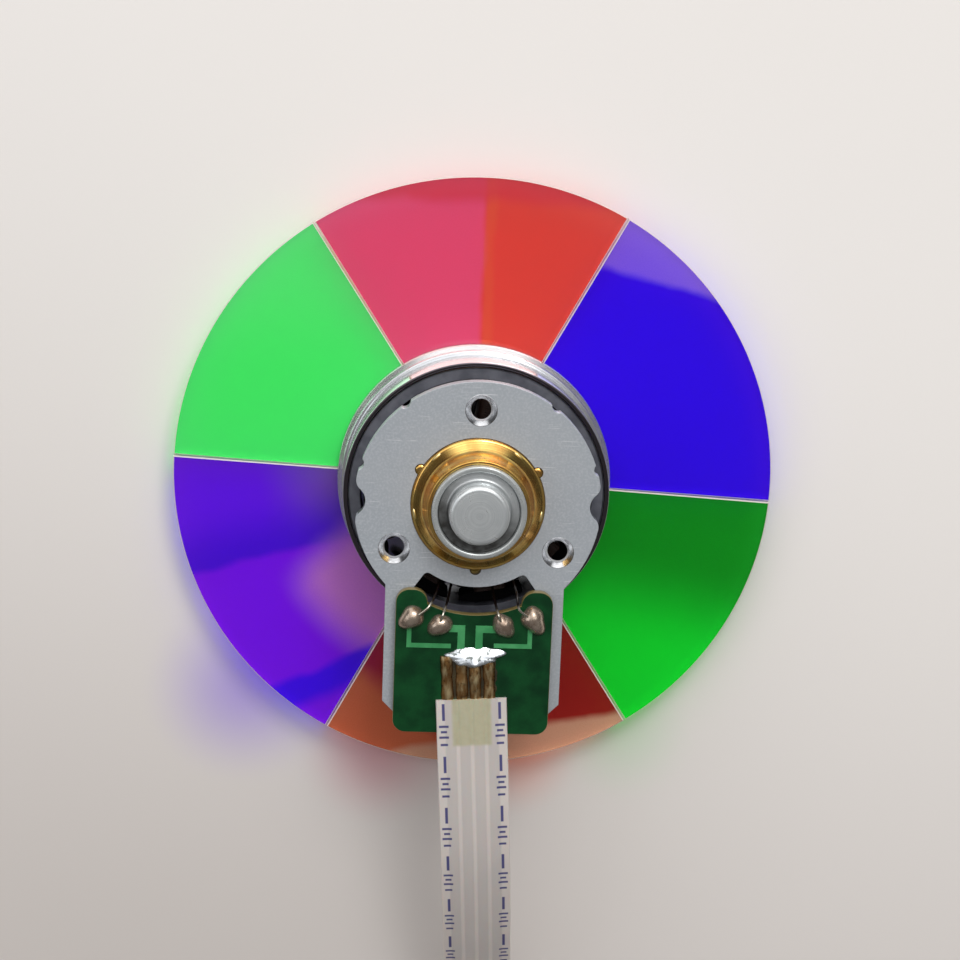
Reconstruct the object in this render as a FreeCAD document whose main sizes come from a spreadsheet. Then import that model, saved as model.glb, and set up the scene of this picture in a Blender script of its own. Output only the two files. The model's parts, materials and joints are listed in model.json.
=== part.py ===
import FreeCAD, Part
import math
import os
import Sketcher

# Projector color wheel: a ring of six glass filters on the rotor of a flat outer-rotor motor.
# Millimetres. +Z is the motor axis. The wheel lies on its clamp ring at Z = 0 with the motor's
# base plate on top, and the plate's tongue and the flat cable point along -Y.

# Driving sizes. Each one goes to a cell of the sheet under the same name.
SIZES = {
    # Glass filter ring
    "glass_outer_radius": 22.0,
    "glass_overlap": 2.5,
    "glass_thickness": 0.7,
    "red_filter_angle": 61.7,
    "green_filter_angle": 53.7,
    "filter_gap_angle": 0.3,
    "wheel_rest_angle": 61.7,
    "bond_thickness": 0.1,
    "bond_margin": 0.3,
    # Clamp ring with its balance groove
    "clamp_inset": 0.1,
    "clamp_thickness": 2.0,
    "groove_rim": 1.0,
    "groove_width": 1.8,
    "groove_depth": 1.0,
    "putty_height": 0.6,
    "putty_angle": 26.0,
    # Rotor hub
    "flange_edge": 0.7,
    "flange_bevel": 0.3,
    "flange_thickness": 1.4,
    "shoulder_ledge": 0.22,
    "pilot_clearance": 0.15,
    "nose_radius": 5.0,
    "nose_recess": 0.5,
    "boss_radius": 3.0,
    # Rotor can and magnet
    "yoke_wall": 0.4,
    "yoke_height": 3.9,
    "yoke_corner": 0.5,
    "magnet_width": 0.8,
    "magnet_inset": 0.2,
    "air_gap": 0.25,
    # Stator core, its insulators and coils
    "core_lift": 1.05,
    "core_thickness": 2.0,
    "core_ring_width": 0.9,
    "slot_count": 9,
    "slot_opening": 0.9,
    "tooth_width": 1.0,
    "tooth_length": 2.29,
    "shoe_tip": 0.4,
    "shoe_root": 0.85,
    "insulator_thickness": 0.25,
    "insulator_cover": 0.1,
    "coil_build": 0.52,
    "coil_corner": 0.4,
    "coil_end_gap": 0.12,
    # Shaft and bearing
    "shaft_radius": 1.0,
    "shaft_recess": 0.3,
    "shaft_groove_depth": 0.2,
    "shaft_groove_width": 0.45,
    "bearing_clearance": 0.03,
    "bearing_gap": 0.16,
    "bearing_relief": 0.08,
    "sleeve_outer_radius": 3.26,
    "sleeve_wall": 0.44,
    "sleeve_lift": 0.5,
    "sleeve_foot": 0.7,
    "sleeve_stand": 0.5,
    "stop_ring_thickness": 0.25,
    "washer_thickness": 0.4,
    "thrust_gap": 0.05,
    "cap_rise": 0.9,
    "cap_plateau_radius": 2.1,
    "cap_shoulder": 0.35,
    "cap_wall": 0.55,
    "cap_dish": 0.35,
    "cap_bend": 0.245,
    "cap_skirt": 0.9,
    # Brass bearing holder
    "holder_wall": 0.64,
    "holder_cone": 1.1,
    "holder_overlap": 0.64,
    "holder_shoulder": 0.8,
    "holder_stake": 0.1,
    "holder_ledge": 0.45,
    "holder_nose_wall": 0.28,
    "holder_nose_height": 2.2,
    "holder_flare": 3.2,
    "key_radius": 0.4,
    "key_angle": 30.0,
    "key_fill": 0.75,
    # Base plate
    "plate_gap": 2.2,
    "plate_thickness": 1.0,
    "plate_inset": 0.85,
    "tongue_half_width": 6.25,
    "tongue_chamfer": 1.0,
    "notch_radius": 1.1,
    "notch_offset": 0.3,
    "notch_shoulder": 0.8,
    "nick_radius": 0.45,
    "nick_offset": 0.22,
    "lower_nick_angle": 17.5,
    "upper_nick_angle": 53.0,
    "window_rim": 0.55,
    "window_width": 2.1,
    "window_half_angle": 35.0,
    "window_corner": 0.35,
    "screw_hole_radius": 0.8,
    "screw_circle_radius": 6.6,
    "screw_countersink": 0.3,
    # Circuit board
    "board_bond": 0.1,
    "board_thickness": 0.7,
    "board_side_margin": 0.77,
    "board_overhang": 1.0,
    "board_corner": 0.9,
    "ear_rise": 1.75,
    "ear_width": 2.2,
    "ear_corner": 0.95,
    "board_arc_lap": 0.3,
    "outer_joint_side": 1.28,
    "outer_joint_setback": 0.2,
    "inner_joint_side": 3.23,
    "inner_joint_setback": 0.75,
    "joint_radius": 0.78,
    "joint_height": 0.55,
    "lead_wire_radius": 0.12,
    "outer_lead_angle": 23.5,
    "inner_lead_angle": 14.5,
    "lead_bend_share": 0.4,
    "lead_edge_gap": 0.36,
    "lead_window_gap": 0.48,
    "lead_cover": 0.234,
    # Flat cable with four ways
    "cable_pitch": 1.0,
    "cable_thickness": 0.3,
    "cable_lap": 2.6,
    "cable_bend_share": 0.45,
    "cable_skew": 3.65,
    "conductor_width": 0.62,
    "conductor_thickness": 0.12,
    "conductor_length": 3.0,
    "conductor_gap": 2.3,
    "pad_joint_radius": 0.46,
    "pad_joint_height": 0.2,
    "stiffener_length": 9.5,
    "stiffener_thickness": 0.2,
    "contact_length": 4.0,
    "contact_thickness": 0.1,
}

# Radial play left between pieces of one body that are pressed or bonded together
SEAT = 0.02


class Length:
    """A size and the sheet expression that gives it."""

    def __init__(self, value, text):
        self.value = value
        self.text = text

    def __add__(self, other):
        other = length(other)
        return Length(self.value + other.value, f"({self.text} + {other.text})")

    def __sub__(self, other):
        other = length(other)
        return Length(self.value - other.value, f"({self.text} - {other.text})")

    def __mul__(self, other):
        other = length(other)
        return Length(self.value * other.value, f"({self.text} * {other.text})")

    def __truediv__(self, other):
        other = length(other)
        return Length(self.value / other.value, f"({self.text} / {other.text})")

    def __neg__(self):
        return Length(-self.value, f"(-1 * {self.text})")


def length(number):
    """Turns a plain number into a Length, and leaves a Length as it is."""
    if isinstance(number, Length):
        return number
    return Length(number, repr(number))


def root(area):
    """The side of a square of this area."""
    return Length(math.sqrt(area.value), f"sqrt({area.text})")


def cosine(angle):
    return Length(math.cos(math.radians(angle.value)), f"cos({angle.text} * 1 deg)")


def sine(angle):
    return Length(math.sin(math.radians(angle.value)), f"sin({angle.text} * 1 deg)")


document = FreeCAD.newDocument("ColorWheel")
sheet = document.addObject("Spreadsheet::Sheet", "Sizes")
for row, (name, number) in enumerate(SIZES.items(), start=1):
    sheet.set(f"A{row}", name)
    sheet.set(f"B{row}", str(number))
    sheet.setAlias(f"B{row}", name)
document.recompute()


def size(name):
    """Reads a driving size from the sheet."""
    return Length(float(sheet.get(name)), f"Sizes.{name}")


nodes = []


def new_body(label, several_solids=False):
    """Starts a sub-part that becomes one file."""
    body = document.addObject("PartDesign::Body", label)
    body.Label = label
    body.AllowCompound = several_solids
    nodes.append(body)
    return body


def origin_feature(body, role):
    for feature in body.Origin.OriginFeatures:
        if feature.Role == role:
            return feature
    raise RuntimeError(f"{body.Label} has no {role}")


def new_sketch(body, plane="XY_Plane", level=None, turn=None):
    """Attaches a sketch to one of the body's own planes, raised to a level and turned."""
    sketch = body.newObject("Sketcher::SketchObject", body.Name + "_sketch")
    sketch.AttachmentSupport = [(origin_feature(body, plane), "")]
    sketch.MapMode = "FlatFace"
    if level is not None:
        sketch.setExpression("AttachmentOffset.Base.z", level.text)
    if turn is not None:
        sketch.setExpression("AttachmentOffset.Rotation.Angle", turn.text)
    return sketch


def constrain(sketch, kind, *arguments):
    """Adds one constraint. A Length as the last argument is bound to the sheet."""
    bound = arguments[-1] if isinstance(arguments[-1], Length) else None
    if bound is None:
        sketch.addConstraint(Sketcher.Constraint(kind, *arguments))
        return
    index = sketch.addConstraint(Sketcher.Constraint(kind, *arguments[:-1], bound.value))
    sketch.setExpression(f"Constraints[{index}]", bound.text)


def place_point(sketch, geometry, point, x, y):
    """Fixes a point at (x, y). A plain 0 puts it on the axis instead."""
    if isinstance(x, Length):
        constrain(sketch, "DistanceX", -1, 1, geometry, point, x)
    else:
        constrain(sketch, "PointOnObject", geometry, point, -2)
    if isinstance(y, Length):
        constrain(sketch, "DistanceY", -1, 1, geometry, point, y)
    else:
        constrain(sketch, "PointOnObject", geometry, point, -1)


def draw_circle(sketch, radius, x=0, y=0):
    centre = FreeCAD.Vector(length(x).value, length(y).value, 0)
    circle = sketch.addGeometry(Part.Circle(centre, FreeCAD.Vector(0, 0, 1), radius.value), False)
    constrain(sketch, "Radius", circle, radius)
    if x == 0 and y == 0:
        constrain(sketch, "Coincident", circle, 3, -1, 1)
    else:
        place_point(sketch, circle, 3, x, y)


def arc_between(start, end, radius):
    """A minor arc from start to end: counter-clockwise for a positive radius."""
    chord = end - start
    middle = (start + end) * 0.5
    left = FreeCAD.Vector(-chord.y, chord.x, 0).normalize()
    reach = math.sqrt(radius ** 2 - (chord.Length / 2) ** 2)
    centre = middle + left * math.copysign(reach, radius)
    circle = Part.Circle(centre, FreeCAD.Vector(0, 0, 1), abs(radius))
    first, last = (start, end) if radius > 0 else (end, start)
    begin = math.atan2(first.y - centre.y, first.x - centre.x)
    finish = math.atan2(last.y - centre.y, last.x - centre.x)
    if finish < begin:
        finish += 2 * math.pi
    return Part.ArcOfCircle(circle, begin, finish)


def draw_outline(sketch, corners):
    """Draws a closed outline through corners (x, y) or (x, y, radius).

    A radius bends the edge to the next corner into an arc, counter-clockwise if positive.
    """
    spots = [FreeCAD.Vector(length(corner[0]).value, length(corner[1]).value, 0) for corner in corners]
    edges = []
    for index, corner in enumerate(corners):
        start = spots[index]
        end = spots[(index + 1) % len(spots)]
        if len(corner) == 2:
            edge = sketch.addGeometry(Part.LineSegment(start, end), False)
            edges.append((edge, 1, 2))
            continue
        radius = corner[2]
        edge = sketch.addGeometry(arc_between(start, end, radius.value), False)
        forward = radius.value > 0
        edges.append((edge, 1, 2) if forward else (edge, 2, 1))
        constrain(sketch, "Radius", edge, radius if forward else -radius)
    for index, corner in enumerate(corners):
        edge, first, last = edges[index]
        following = edges[(index + 1) % len(edges)]
        constrain(sketch, "Coincident", edge, last, following[0], following[1])
        place_point(sketch, edge, first, corner[0], corner[1])


def draw_sector(sketch, inner, outer, half_angle):
    """Draws a sector of a ring, half_angle to each side of the sketch's own X axis."""
    centre = FreeCAD.Vector(0, 0, 0)
    spread = math.radians(half_angle.value)
    arcs = []
    for radius in (inner, outer):
        circle = Part.Circle(centre, FreeCAD.Vector(0, 0, 1), radius.value)
        arc = sketch.addGeometry(Part.ArcOfCircle(circle, -spread, spread), False)
        constrain(sketch, "Coincident", arc, 3, -1, 1)
        constrain(sketch, "Radius", arc, radius)
        arcs.append(arc)
    for point, side in ((1, -1), (2, 1)):
        ray = FreeCAD.Vector(math.cos(side * spread), math.sin(side * spread), 0)
        line = sketch.addGeometry(Part.LineSegment(ray * inner.value, ray * outer.value), False)
        constrain(sketch, "Coincident", line, 1, arcs[0], point)
        constrain(sketch, "Coincident", line, 2, arcs[1], point)
        constrain(sketch, "PointOnObject", -1, 1, line)
    index = sketch.addConstraint(Sketcher.Constraint("Angle", line, spread))
    sketch.setExpression(f"Constraints[{index}]", f"{half_angle.text} * 1 deg")
    constrain(sketch, "Vertical", arcs[0], 1, arcs[0], 2)


def pad(body, sketch, height):
    feature = body.newObject("PartDesign::Pad", body.Name + "_pad")
    feature.Profile = sketch
    feature.setExpression("Length", height.text)
    return feature


def pocket(body, sketch, depth):
    """Cuts downwards from a sketch that lies on the upper face."""
    feature = body.newObject("PartDesign::Pocket", body.Name + "_pocket")
    feature.Profile = sketch
    feature.setExpression("Length", depth.text)
    return feature


def turned(body, corners):
    """Turns a profile of (radius, height) corners about the motor axis."""
    sketch = new_sketch(body, "XZ_Plane")
    draw_outline(sketch, corners)
    feature = body.newObject("PartDesign::Revolution", body.Name + "_turned")
    feature.Profile = sketch
    feature.ReferenceAxis = (sketch, ["V_Axis"])
    feature.Angle = 360
    return feature


def repeated(body, feature, count):
    """Repeats a feature round the motor axis."""
    pattern = body.newObject("PartDesign::PolarPattern", body.Name + "_pattern")
    pattern.Originals = [feature]
    pattern.Axis = (origin_feature(body, "Z_Axis"), [""])
    pattern.Angle = 360
    pattern.setExpression("Occurrences", count.text)
    body.Tip = pattern
    return pattern


def washer(body, inner, outer, level, height):
    """A flat ring from a level upwards."""
    sketch = new_sketch(body, level=level)
    draw_circle(sketch, outer)
    draw_circle(sketch, inner)
    return pad(body, sketch, height)


def edge_names(feature, wanted):
    """Names the edges whose curve passes the test, for a fillet or chamfer."""
    document.recompute()
    names = []
    for index, edge in enumerate(feature.Shape.Edges, start=1):
        if wanted(edge):
            names.append(f"Edge{index}")
    return names


def dress(body, kind, feature, wanted, amount):
    """Fillets or chamfers the edges that pass the test."""
    names = edge_names(feature, wanted)
    dressed = body.newObject(f"PartDesign::{kind}", f"{body.Name}_{kind.lower()}")
    dressed.Base = (feature, names)
    dressed.setExpression("Radius" if kind == "Fillet" else "Size", amount.text)
    body.Tip = dressed
    return dressed


def is_circle(edge, radius, level):
    """True for a circular edge of this radius at this level."""
    if not isinstance(edge.Curve, Part.Circle):
        return False
    same_radius = abs(edge.Curve.Radius - radius.value) < 1e-4
    return same_radius and abs(edge.Curve.Center.z - level.value) < 1e-4


def is_upright(edge, distance):
    """True for an edge along Z at this distance from the motor axis."""
    first, last = edge.Vertexes[0].Point, edge.Vertexes[-1].Point
    across = math.hypot(first.x - last.x, first.y - last.y)
    return across < 1e-4 and abs(math.hypot(first.x, first.y) - distance.value) < 1e-3


# Levels, from the face that the wheel lies on up to the top of the bearing
clamp_top = size("clamp_thickness")
glass_bottom = clamp_top + size("bond_thickness")
glass_top = glass_bottom + size("glass_thickness")
flange_bottom = glass_top + size("bond_thickness")
flange_top = flange_bottom + size("flange_thickness")
rotor_floor = flange_top + size("yoke_wall")
yoke_lip = flange_top + size("yoke_height")
core_bottom = rotor_floor + size("core_lift")
core_top = core_bottom + size("core_thickness")
plate_bottom = yoke_lip + size("plate_gap")
plate_top = plate_bottom + size("plate_thickness")
holder_face = plate_top + size("holder_stake")
holder_top = plate_top + size("holder_stake") + size("holder_nose_height")
sleeve_bottom = rotor_floor + size("sleeve_lift")
sleeve_top = holder_top + size("sleeve_stand")
cap_floor = sleeve_top - size("cap_dish")
cap_skirt_bottom = cap_floor - size("cap_skirt")
cap_top = sleeve_top + size("cap_rise")
washer_top = cap_top - size("cap_wall")
washer_bottom = washer_top - size("washer_thickness")
shaft_bottom = size("nose_recess") + size("shaft_recess")
shaft_top = washer_bottom - size("thrust_gap")
board_bottom = plate_top + size("board_bond")
board_top = board_bottom + size("board_thickness")

# Radii, outwards from the shaft through bearing, holder, core, magnet and can to the flange
hub_bore = size("shaft_radius") + SEAT
sleeve_bore = size("sleeve_outer_radius") - size("sleeve_wall")
sleeve_fill = sleeve_bore - SEAT
holder_bore = size("sleeve_outer_radius") + SEAT
holder_tube = holder_bore + size("holder_wall")
holder_nose = holder_bore + size("holder_nose_wall")
spigot_radius = holder_nose + size("holder_cone")
core_bore = holder_tube + SEAT
core_ring = core_bore + size("core_ring_width")
insulator_radius = core_ring + size("tooth_length")
core_outer = insulator_radius + size("shoe_root")
magnet_inner = core_outer + size("air_gap")
magnet_outer = magnet_inner + size("magnet_width")
yoke_inner = magnet_outer + SEAT
yoke_outer = yoke_inner + size("yoke_wall")
shoulder_radius = yoke_outer + size("shoulder_ledge")
flange_radius = shoulder_radius + size("flange_bevel")
glass_inner = flange_radius - size("glass_overlap")
pilot_radius = glass_inner - size("pilot_clearance")
clamp_radius = flange_radius - size("clamp_inset")
groove_outer = clamp_radius - size("groove_rim")
groove_inner = groove_outer - size("groove_width")
plate_radius = yoke_outer - size("plate_inset")
window_outer = plate_radius - size("window_rim")
window_inner = window_outer - size("window_width")

# Reaches along -Y, outwards from the window, which the board covers by a lap, to the board's end
board_arc = window_outer - size("board_arc_lap")
outer_joint_y = board_arc + size("outer_joint_setback")
inner_joint_y = board_arc + size("inner_joint_setback")
cable_start = inner_joint_y + size("conductor_gap") + size("conductor_length")
board_end = cable_start + size("cable_lap")
tongue_reach = board_end - size("board_overhang")
board_half_width = size("tongue_half_width") - size("board_side_margin")
WAYS = (-1.5, -0.5, 0.5, 1.5)
cable_width = size("cable_pitch") * (len(WAYS) + 1)


# Rotor: filters

blue_filter_angle = length(180) - size("red_filter_angle") - size("green_filter_angle")
FILTER_ORDER = (
    ("red", size("red_filter_angle")),
    ("green", size("green_filter_angle")),
    ("blue", blue_filter_angle),
)


def make_filters():
    """Six sectors of coated glass: red, green and blue, twice round."""
    start = size("wheel_rest_angle")
    for half_turn in (1, 2):
        for colour, spread in FILTER_ORDER:
            body = new_body(f"filter_{colour}_{half_turn}")
            sketch = new_sketch(body, level=glass_bottom)
            half_angle = (spread - size("filter_gap_angle")) / 2
            draw_sector(sketch, glass_inner, size("glass_outer_radius"), half_angle)
            pad(body, sketch, size("glass_thickness"))
            middle = start + spread / 2
            body.setExpression("Placement.Rotation.Angle", middle.text)
            start = start + spread


def make_segment_adhesive():
    """The bond under and over the glass."""
    body = new_body("segment_adhesive", several_solids=True)
    inner = glass_inner + size("bond_margin")
    outer = clamp_radius - size("bond_margin")
    washer(body, inner, outer, clamp_top, size("bond_thickness"))
    washer(body, inner, outer, glass_top, size("bond_thickness"))


def make_clamp_ring():
    """Aluminium ring on the far face, with a groove for balance weights."""
    body = new_body("clamp_ring")
    bore = size("nose_radius") + SEAT
    bevel = size("flange_bevel")
    turned(body, [
        (bore, 0),
        (groove_inner, 0),
        (groove_inner, size("groove_depth")),
        (groove_outer, size("groove_depth")),
        (groove_outer, 0),
        (clamp_radius - bevel, 0),
        (clamp_radius, bevel),
        (clamp_radius, clamp_top),
        (bore, clamp_top),
    ])


def make_balance_putty():
    """Two dabs of balance weight in the groove, seated on its floor."""
    body = new_body("balance_putty", several_solids=True)
    inner = groove_inner + SEAT
    outer = groove_outer - SEAT
    for turn, share in ((-40, 2), (150, 4)):
        sketch = new_sketch(body, level=size("groove_depth") - size("putty_height"), turn=length(turn))
        draw_sector(sketch, inner, outer, size("putty_angle") / share)
        pad(body, sketch, size("putty_height"))


# Rotor: hub, can, magnet and shaft


def make_rotor_hub():
    """Turned hub: nose in the clamp ring, pilot in the glass, stepped flange and boss."""
    body = new_body("rotor_hub")
    flange_edge = flange_bottom + size("flange_edge")
    turned(body, [
        (hub_bore, size("nose_recess")),
        (size("nose_radius"), size("nose_recess")),
        (size("nose_radius"), clamp_top),
        (pilot_radius, clamp_top),
        (pilot_radius, flange_bottom),
        (flange_radius, flange_bottom),
        (flange_radius, flange_edge),
        (shoulder_radius, flange_edge + size("flange_bevel")),
        (shoulder_radius, flange_top),
        (size("boss_radius"), flange_top),
        (size("boss_radius"), rotor_floor),
        (hub_bore, rotor_floor),
    ])


def make_rotor_yoke():
    """Drawn steel can, open towards the base plate."""
    body = new_body("rotor_yoke")
    hole = size("boss_radius") + SEAT
    corner = size("yoke_corner")
    lip_bevel = size("yoke_wall") / 4
    turned(body, [
        (hole, flange_top),
        (yoke_outer - corner, flange_top, corner),
        (yoke_outer, flange_top + corner),
        (yoke_outer, yoke_lip - lip_bevel),
        (yoke_outer - lip_bevel, yoke_lip),
        (yoke_inner, yoke_lip),
        (yoke_inner, rotor_floor),
        (hole, rotor_floor),
    ])


def make_rotor_magnet():
    body = new_body("rotor_magnet")
    height = size("yoke_height") - size("yoke_wall") - size("magnet_inset")
    washer(body, magnet_inner, magnet_outer, rotor_floor, height)


stop_ring_bottom = sleeve_bottom + size("sleeve_foot") + SEAT
stop_ring_top = stop_ring_bottom + size("stop_ring_thickness")
bearing_bottom = stop_ring_top + SEAT
bearing_top = cap_skirt_bottom - size("bearing_gap")
groove_spare = (size("shaft_groove_width") - size("stop_ring_thickness")) / 2


def make_shaft():
    """Ground shaft with a groove for the stop ring and a domed end."""
    body = new_body("shaft")
    radius = size("shaft_radius")
    neck = radius - size("shaft_groove_depth")
    groove_bottom = stop_ring_bottom - groove_spare
    groove_top = stop_ring_top + groove_spare
    dome = radius / 4
    bevel = radius / 5
    ball = (radius * radius + dome * dome) / (dome * 2)
    turned(body, [
        (0, shaft_bottom),
        (radius - bevel, shaft_bottom),
        (radius, shaft_bottom + bevel),
        (radius, groove_bottom),
        (neck, groove_bottom),
        (neck, groove_top),
        (radius, groove_top),
        (radius, shaft_top - dome, ball),
        (0, shaft_top),
    ])


# Stator: bearing


def make_oil_bearing():
    """Sintered sleeve bearing with bevelled ends and a relieved middle."""
    body = new_body("oil_bearing")
    bore = size("shaft_radius") + size("bearing_clearance")
    relief = bore + size("bearing_relief")
    land = (bearing_top - bearing_bottom) / 4
    bevel = size("bearing_relief") * 3
    turned(body, [
        (bore + bevel, bearing_bottom),
        (sleeve_fill - bevel, bearing_bottom),
        (sleeve_fill, bearing_bottom + bevel),
        (sleeve_fill, bearing_top - bevel),
        (sleeve_fill - bevel, bearing_top),
        (bore + bevel, bearing_top),
        (bore, bearing_top - bevel),
        (bore, bearing_top - land),
        (relief, bearing_top - land - size("bearing_relief")),
        (relief, bearing_bottom + land + size("bearing_relief")),
        (bore, bearing_bottom + land),
        (bore, bearing_bottom + bevel),
    ])


def make_stop_ring():
    """Thin ring in the shaft's groove that keeps the rotor from pulling out."""
    body = new_body("stop_ring")
    inner = size("shaft_radius") - size("shaft_groove_depth") / 2
    washer(body, inner, sleeve_fill, stop_ring_bottom, size("stop_ring_thickness"))


def make_bearing_sleeve():
    """Steel sleeve with a rolled foot under the bearing and a rounded rim."""
    body = new_body("bearing_sleeve")
    outer = size("sleeve_outer_radius")
    foot_bore = sleeve_bore - size("sleeve_wall")
    foot_top = sleeve_bottom + size("sleeve_foot")
    rim = size("sleeve_wall") / 3
    turned(body, [
        (foot_bore, sleeve_bottom),
        (outer - rim, sleeve_bottom),
        (outer, sleeve_bottom + rim),
        (outer, sleeve_top - rim, rim),
        (outer - rim, sleeve_top),
        (sleeve_bore + rim, sleeve_top, rim),
        (sleeve_bore, sleeve_top - rim),
        (sleeve_bore, foot_top),
        (foot_bore, foot_top),
    ])


def make_thrust_cap():
    """Drawn cap that closes the sleeve: a raised plateau in a dished rim."""
    body = new_body("thrust_cap")
    plateau = size("cap_plateau_radius")
    shoulder = size("cap_shoulder")
    bend = size("cap_bend")
    inner = plateau - size("cap_wall")
    turned(body, [
        (0, washer_top),
        (inner, washer_top),
        (inner, cap_skirt_bottom),
        (sleeve_fill, cap_skirt_bottom),
        (sleeve_fill, cap_floor),
        (plateau + bend, cap_floor, -bend),
        (plateau, cap_floor + bend),
        (plateau, cap_top - shoulder, shoulder),
        (plateau - shoulder, cap_top),
        (0, cap_top),
    ])


def make_thrust_washer():
    """Plastic disc that the domed shaft end runs on."""
    body = new_body("thrust_washer")
    sketch = new_sketch(body, level=washer_bottom)
    draw_circle(sketch, size("cap_plateau_radius") - size("cap_wall") - SEAT)
    pad(body, sketch, size("washer_thickness"))


def make_bearing_holder():
    """Turned brass holder: tube for the core, shoulder under the plate, staked nose above."""
    body = new_body("bearing_holder")
    ledge = spigot_radius - size("holder_ledge")
    shoulder = spigot_radius + size("holder_overlap")
    lip = size("holder_nose_wall") / 3
    tube_bottom = core_bottom - size("insulator_thickness")
    seat_level = core_top + size("insulator_thickness")
    shoulder_bottom = plate_bottom - size("holder_shoulder")
    step = holder_tube + size("holder_wall") / 2
    turned(body, [
        (holder_bore, tube_bottom),
        (holder_tube, tube_bottom),
        (holder_tube, seat_level),
        (step, seat_level),
        (step, shoulder_bottom),
        (shoulder, shoulder_bottom),
        (shoulder, plate_bottom),
        (spigot_radius, plate_bottom),
        (spigot_radius, holder_face),
        (ledge, holder_face, -size("holder_flare")),
        (holder_nose, holder_top - lip),
        (holder_nose - lip, holder_top),
        (holder_bore, holder_top),
    ])
    sketch = new_sketch(body, level=plate_bottom)
    key = size("key_radius") - SEAT
    key_x = spigot_radius * cosine(size("key_angle"))
    key_y = spigot_radius * sine(size("key_angle"))
    for side in (1, -1):
        draw_circle(sketch, key, key_x * side, key_y)
    pad(body, sketch, size("plate_thickness") * size("key_fill"))


# Stator: core and windings


def toothed_plate(body, level, height, outer, tooth, shoes):
    """A ring with teeth: a disc from which one slot is cut and repeated."""
    washer(body, core_bore, outer, level, height)
    half_pitch = length(180) / size("slot_count")
    mouth = size("slot_opening") / 2
    beyond = outer + size("air_gap")
    floor_along = (core_ring * cosine(half_pitch)) + (tooth / 2) * sine(half_pitch)
    floor_across = (core_ring * sine(half_pitch)) - (tooth / 2) * cosine(half_pitch)
    if shoes:
        root_reach = outer - size("shoe_root")
        wing_along = (root_reach * cosine(half_pitch)) + (tooth / 2) * sine(half_pitch)
        wing_across = (root_reach * sine(half_pitch)) - (tooth / 2) * cosine(half_pitch)
        tip = outer - size("shoe_tip")
        upper = [(beyond, mouth), (tip, mouth), (wing_along, wing_across), (floor_along, floor_across)]
    else:
        wing_across = (beyond * sine(half_pitch) - tooth / 2) / cosine(half_pitch)
        upper = [(beyond, wing_across), (floor_along, floor_across)]
    lower = [(along, -across) for along, across in reversed(upper)]
    sketch = new_sketch(body, level=level + height, turn=half_pitch)
    draw_outline(sketch, upper + lower)
    repeated(body, pocket(body, sketch, height), size("slot_count"))


insulator_tooth = size("tooth_width") + size("insulator_cover") * 2


def make_stator_core():
    body = new_body("stator_core")
    toothed_plate(body, core_bottom, size("core_thickness"), core_outer, size("tooth_width"), True)


def make_insulators():
    for label, level in (
        ("insulator_upper", core_top),
        ("insulator_lower", core_bottom - size("insulator_thickness")),
    ):
        body = new_body(label)
        thickness = size("insulator_thickness")
        toothed_plate(body, level, thickness, insulator_radius, insulator_tooth, False)


def make_coils():
    """Nine coils on nine teeth. Each phase has every third coil."""
    inner_wide = insulator_tooth / 2 + SEAT
    inner_high = size("core_thickness") / 2 + size("insulator_thickness") + SEAT
    outer_wide = inner_wide + size("coil_build")
    outer_high = inner_high + size("coil_build")
    corner = size("coil_corner")
    start = core_ring + size("coil_end_gap")
    reach = insulator_radius - start - size("coil_end_gap")
    middle = core_bottom + size("core_thickness") / 2
    for phase, label in enumerate(("coils_u", "coils_v", "coils_w")):
        body = new_body(label, several_solids=True)
        sketch = new_sketch(body, "YZ_Plane", level=start)
        draw_outline(sketch, [
            (corner - outer_wide, middle - outer_high),
            (outer_wide - corner, middle - outer_high, corner),
            (outer_wide, middle - outer_high + corner),
            (outer_wide, middle + outer_high - corner, corner),
            (outer_wide - corner, middle + outer_high),
            (corner - outer_wide, middle + outer_high, corner),
            (-outer_wide, middle + outer_high - corner),
            (-outer_wide, middle - outer_high + corner, corner),
        ])
        draw_outline(sketch, [
            (-inner_wide, middle - inner_high),
            (inner_wide, middle - inner_high),
            (inner_wide, middle + inner_high),
            (-inner_wide, middle + inner_high),
        ])
        repeated(body, pad(body, sketch, reach), size("slot_count") / 3)
        turn = length(360) / size("slot_count") * phase
        body.setExpression("Placement.Rotation.Angle", turn.text)


# Stator: base plate and circuit board


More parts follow.
